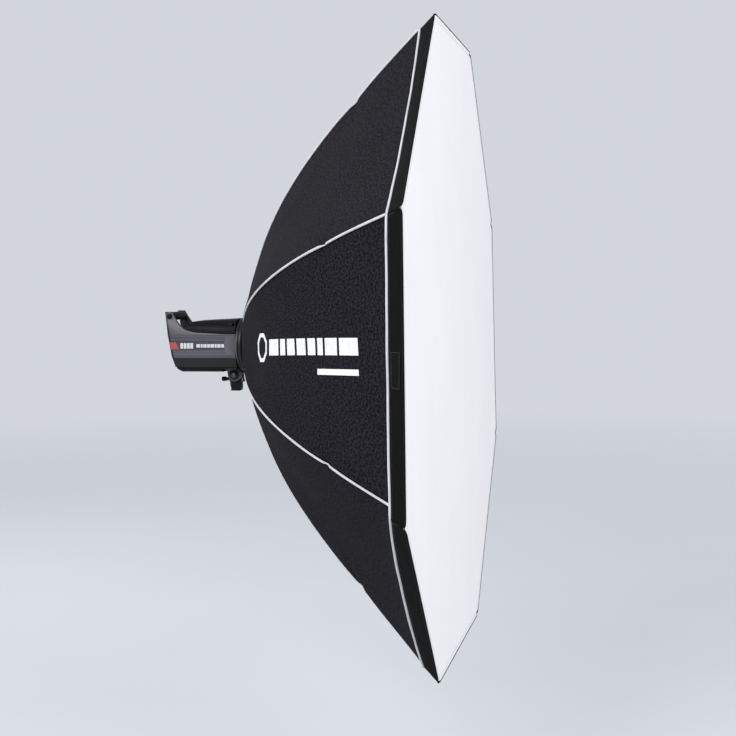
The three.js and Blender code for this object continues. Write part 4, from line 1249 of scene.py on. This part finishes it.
SOFT_NODES = {"front_lip", "rear_collar", "front_diffuser", "inner_baffle"}
SOFT_NODES |= {f"{node}_{k + 1}" for node in ("shell_panel", "rod") for k in range(SIDES)}
NODE_SLOTS = {
    "plastic_grey": ["side_panel_left", "side_panel_right", "mount_foot", "control_knob"],
    "rubber": ["handle_bar", "bayonet_latch", "bolt_washer"] + [f"button_{i}" for i in range(1, 5)],
    "cast_metal": ["stand_socket", "bayonet_ring", "lock_ring", "ring_retainer", "rotating_ring"],
    "steel": ["pivot_bolt", "sync_socket"],
    "clear_glass": ["modelling_lamp", "flash_tube", "glass_dome"],
    "display": ["display_window"],
    "circuit_board": ["control_board"],
    "capacitor": ["capacitor_1", "capacitor_2"],
    "ceramic": ["lamp_base"],
}
BEVELS = {
    "side_panel_left": 1.2, "side_panel_right": 1.2, "top_cover": 1.0, "bottom_cover": 1.0,
    "mount_foot": 0.9, "stand_socket": 1.1, "tilt_lever": 1.1, "handle_bar": 0.8, "front_ring": 0.6,
    "stand_lock_screw": 0.5, "rotating_ring": 0.6, "lock_ring": 0.5, "bayonet_ring": 0.5,
    "rear_panel": 0.5, "control_knob": 0.5, "power_switch": 0.5, "mains_inlet": 0.3,
}
UNBEVELLED = {"modelling_lamp", "flash_tube", "glass_dome"}


def finish_cad_nodes():
    slot_of = {node: slot for slot, nodes in NODE_SLOTS.items() for node in nodes}
    for name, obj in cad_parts.items():
        if name in SOFT_NODES:
            continue
        finish = SLOT_FINISHES[slot_of.get(name, "plastic_black")]
        obj.material_slots[0].material = OWN_FINISHES.get(name, finish)
        obj.modifiers.new("weld", "WELD").merge_threshold = 0.01 * MM
        if name not in UNBEVELLED:
            flatten = obj.modifiers.new("flatten", "DECIMATE")
            flatten.decimate_type, flatten.angle_limit = "DISSOLVE", radians(0.6)
            bevel = obj.modifiers.new("bevel", "BEVEL")
            bevel.width, bevel.segments = BEVELS.get(name, 0.35) * MM, 2
            bevel.limit_method, bevel.angle_limit = "ANGLE", radians(32)
        add_smooth(obj)


finish_cad_nodes()


# ---- Stage and lights ----

BACKDROP, BACKDROP_STRENGTH = (0.90, 0.93, 1.0), 0.72


def make_stage():
    floor_z, reach = cad_box[0][2] - 0.45, 40.0
    mesh = bpy.data.meshes.new("floor")
    mesh.from_pydata([(x * reach, y * reach, floor_z) for x, y in ((-1, -1), (1, -1), (1, 1), (-1, 1))],
                     [], [(0, 1, 2, 3)])
    floor = bpy.data.objects.new("floor", mesh)
    bpy.context.scene.collection.objects.link(floor)
    paint = Finish("floor_paint", Roughness=0.9)
    paint.colour(paint.ramp(paint.noise(0.8, 3), (0.70, 0.71, 0.73), (0.73, 0.74, 0.76)))
    # Far off, the floor runs into the backdrop
    away = paint.node("VectorMath", operation="LENGTH")
    paint.feed(away.inputs[0], paint.place())
    share = paint.ramp(paint.times(away.outputs["Value"], 0.1), 0.25, 1.0, 0.1, 1.0)
    haze = paint.node("Emission")
    haze.inputs["Color"].default_value = (*BACKDROP, 1)
    haze.inputs["Strength"].default_value = BACKDROP_STRENGTH
    either = paint.node("MixShader")
    paint.feed(either.inputs[0], share)
    paint.feed(either.inputs[1], paint.shader.outputs[0])
    paint.feed(either.inputs[2], haze.outputs[0])
    paint.feed(paint.tree.nodes["Material Output"].inputs["Surface"], either.outputs[0])
    mesh.materials.append(paint.material)


def area_light(name, place, aim, size, power, colour=(1, 1, 1)):
    light = bpy.data.lights.new(name, "AREA")
    light.shape, light.size, light.energy, light.color = "DISK", size, power, colour
    obj = bpy.data.objects.new(name, light)
    obj.location = place
    obj.rotation_euler = (Vector(aim) - Vector(place)).to_track_quat("-Z", "Y").to_euler()
    bpy.context.scene.collection.objects.link(obj)


def make_lights():
    middle = (0.35, 0, AXIS_Z)
    area_light("key", (-1.2, -4.2, 2.8), middle, 2.6, 190)
    area_light("front_fill", (4.6, -1.6, 1.6), middle, 3.0, 112)
    area_light("rear_fill", (-3.6, 2.6, 2.2), middle, 2.6, 70, (0.94, 0.96, 1))
    world = bpy.data.worlds.new("studio")
    world.use_nodes = True
    tree = world.node_tree
    lighting, backdrop = tree.nodes["Background"], tree.nodes.new("ShaderNodeBackground")
    lighting.inputs["Color"].default_value = (0.88, 0.92, 1.0, 1)
    lighting.inputs["Strength"].default_value = 0.62
    backdrop.inputs["Color"].default_value = (*BACKDROP, 1)
    backdrop.inputs["Strength"].default_value = BACKDROP_STRENGTH
    seen = tree.nodes.new("ShaderNodeLightPath").outputs["Is Camera Ray"]
    either = tree.nodes.new("ShaderNodeMixShader")
    tree.links.new(seen, either.inputs[0])
    tree.links.new(lighting.outputs[0], either.inputs[1])
    tree.links.new(backdrop.outputs[0], either.inputs[2])
    tree.links.new(either.outputs[0], tree.nodes["World Output"].inputs["Surface"])
    bpy.context.scene.world = world
    bpy.context.scene.view_settings.view_transform = "Standard"


make_stage()
make_lights()
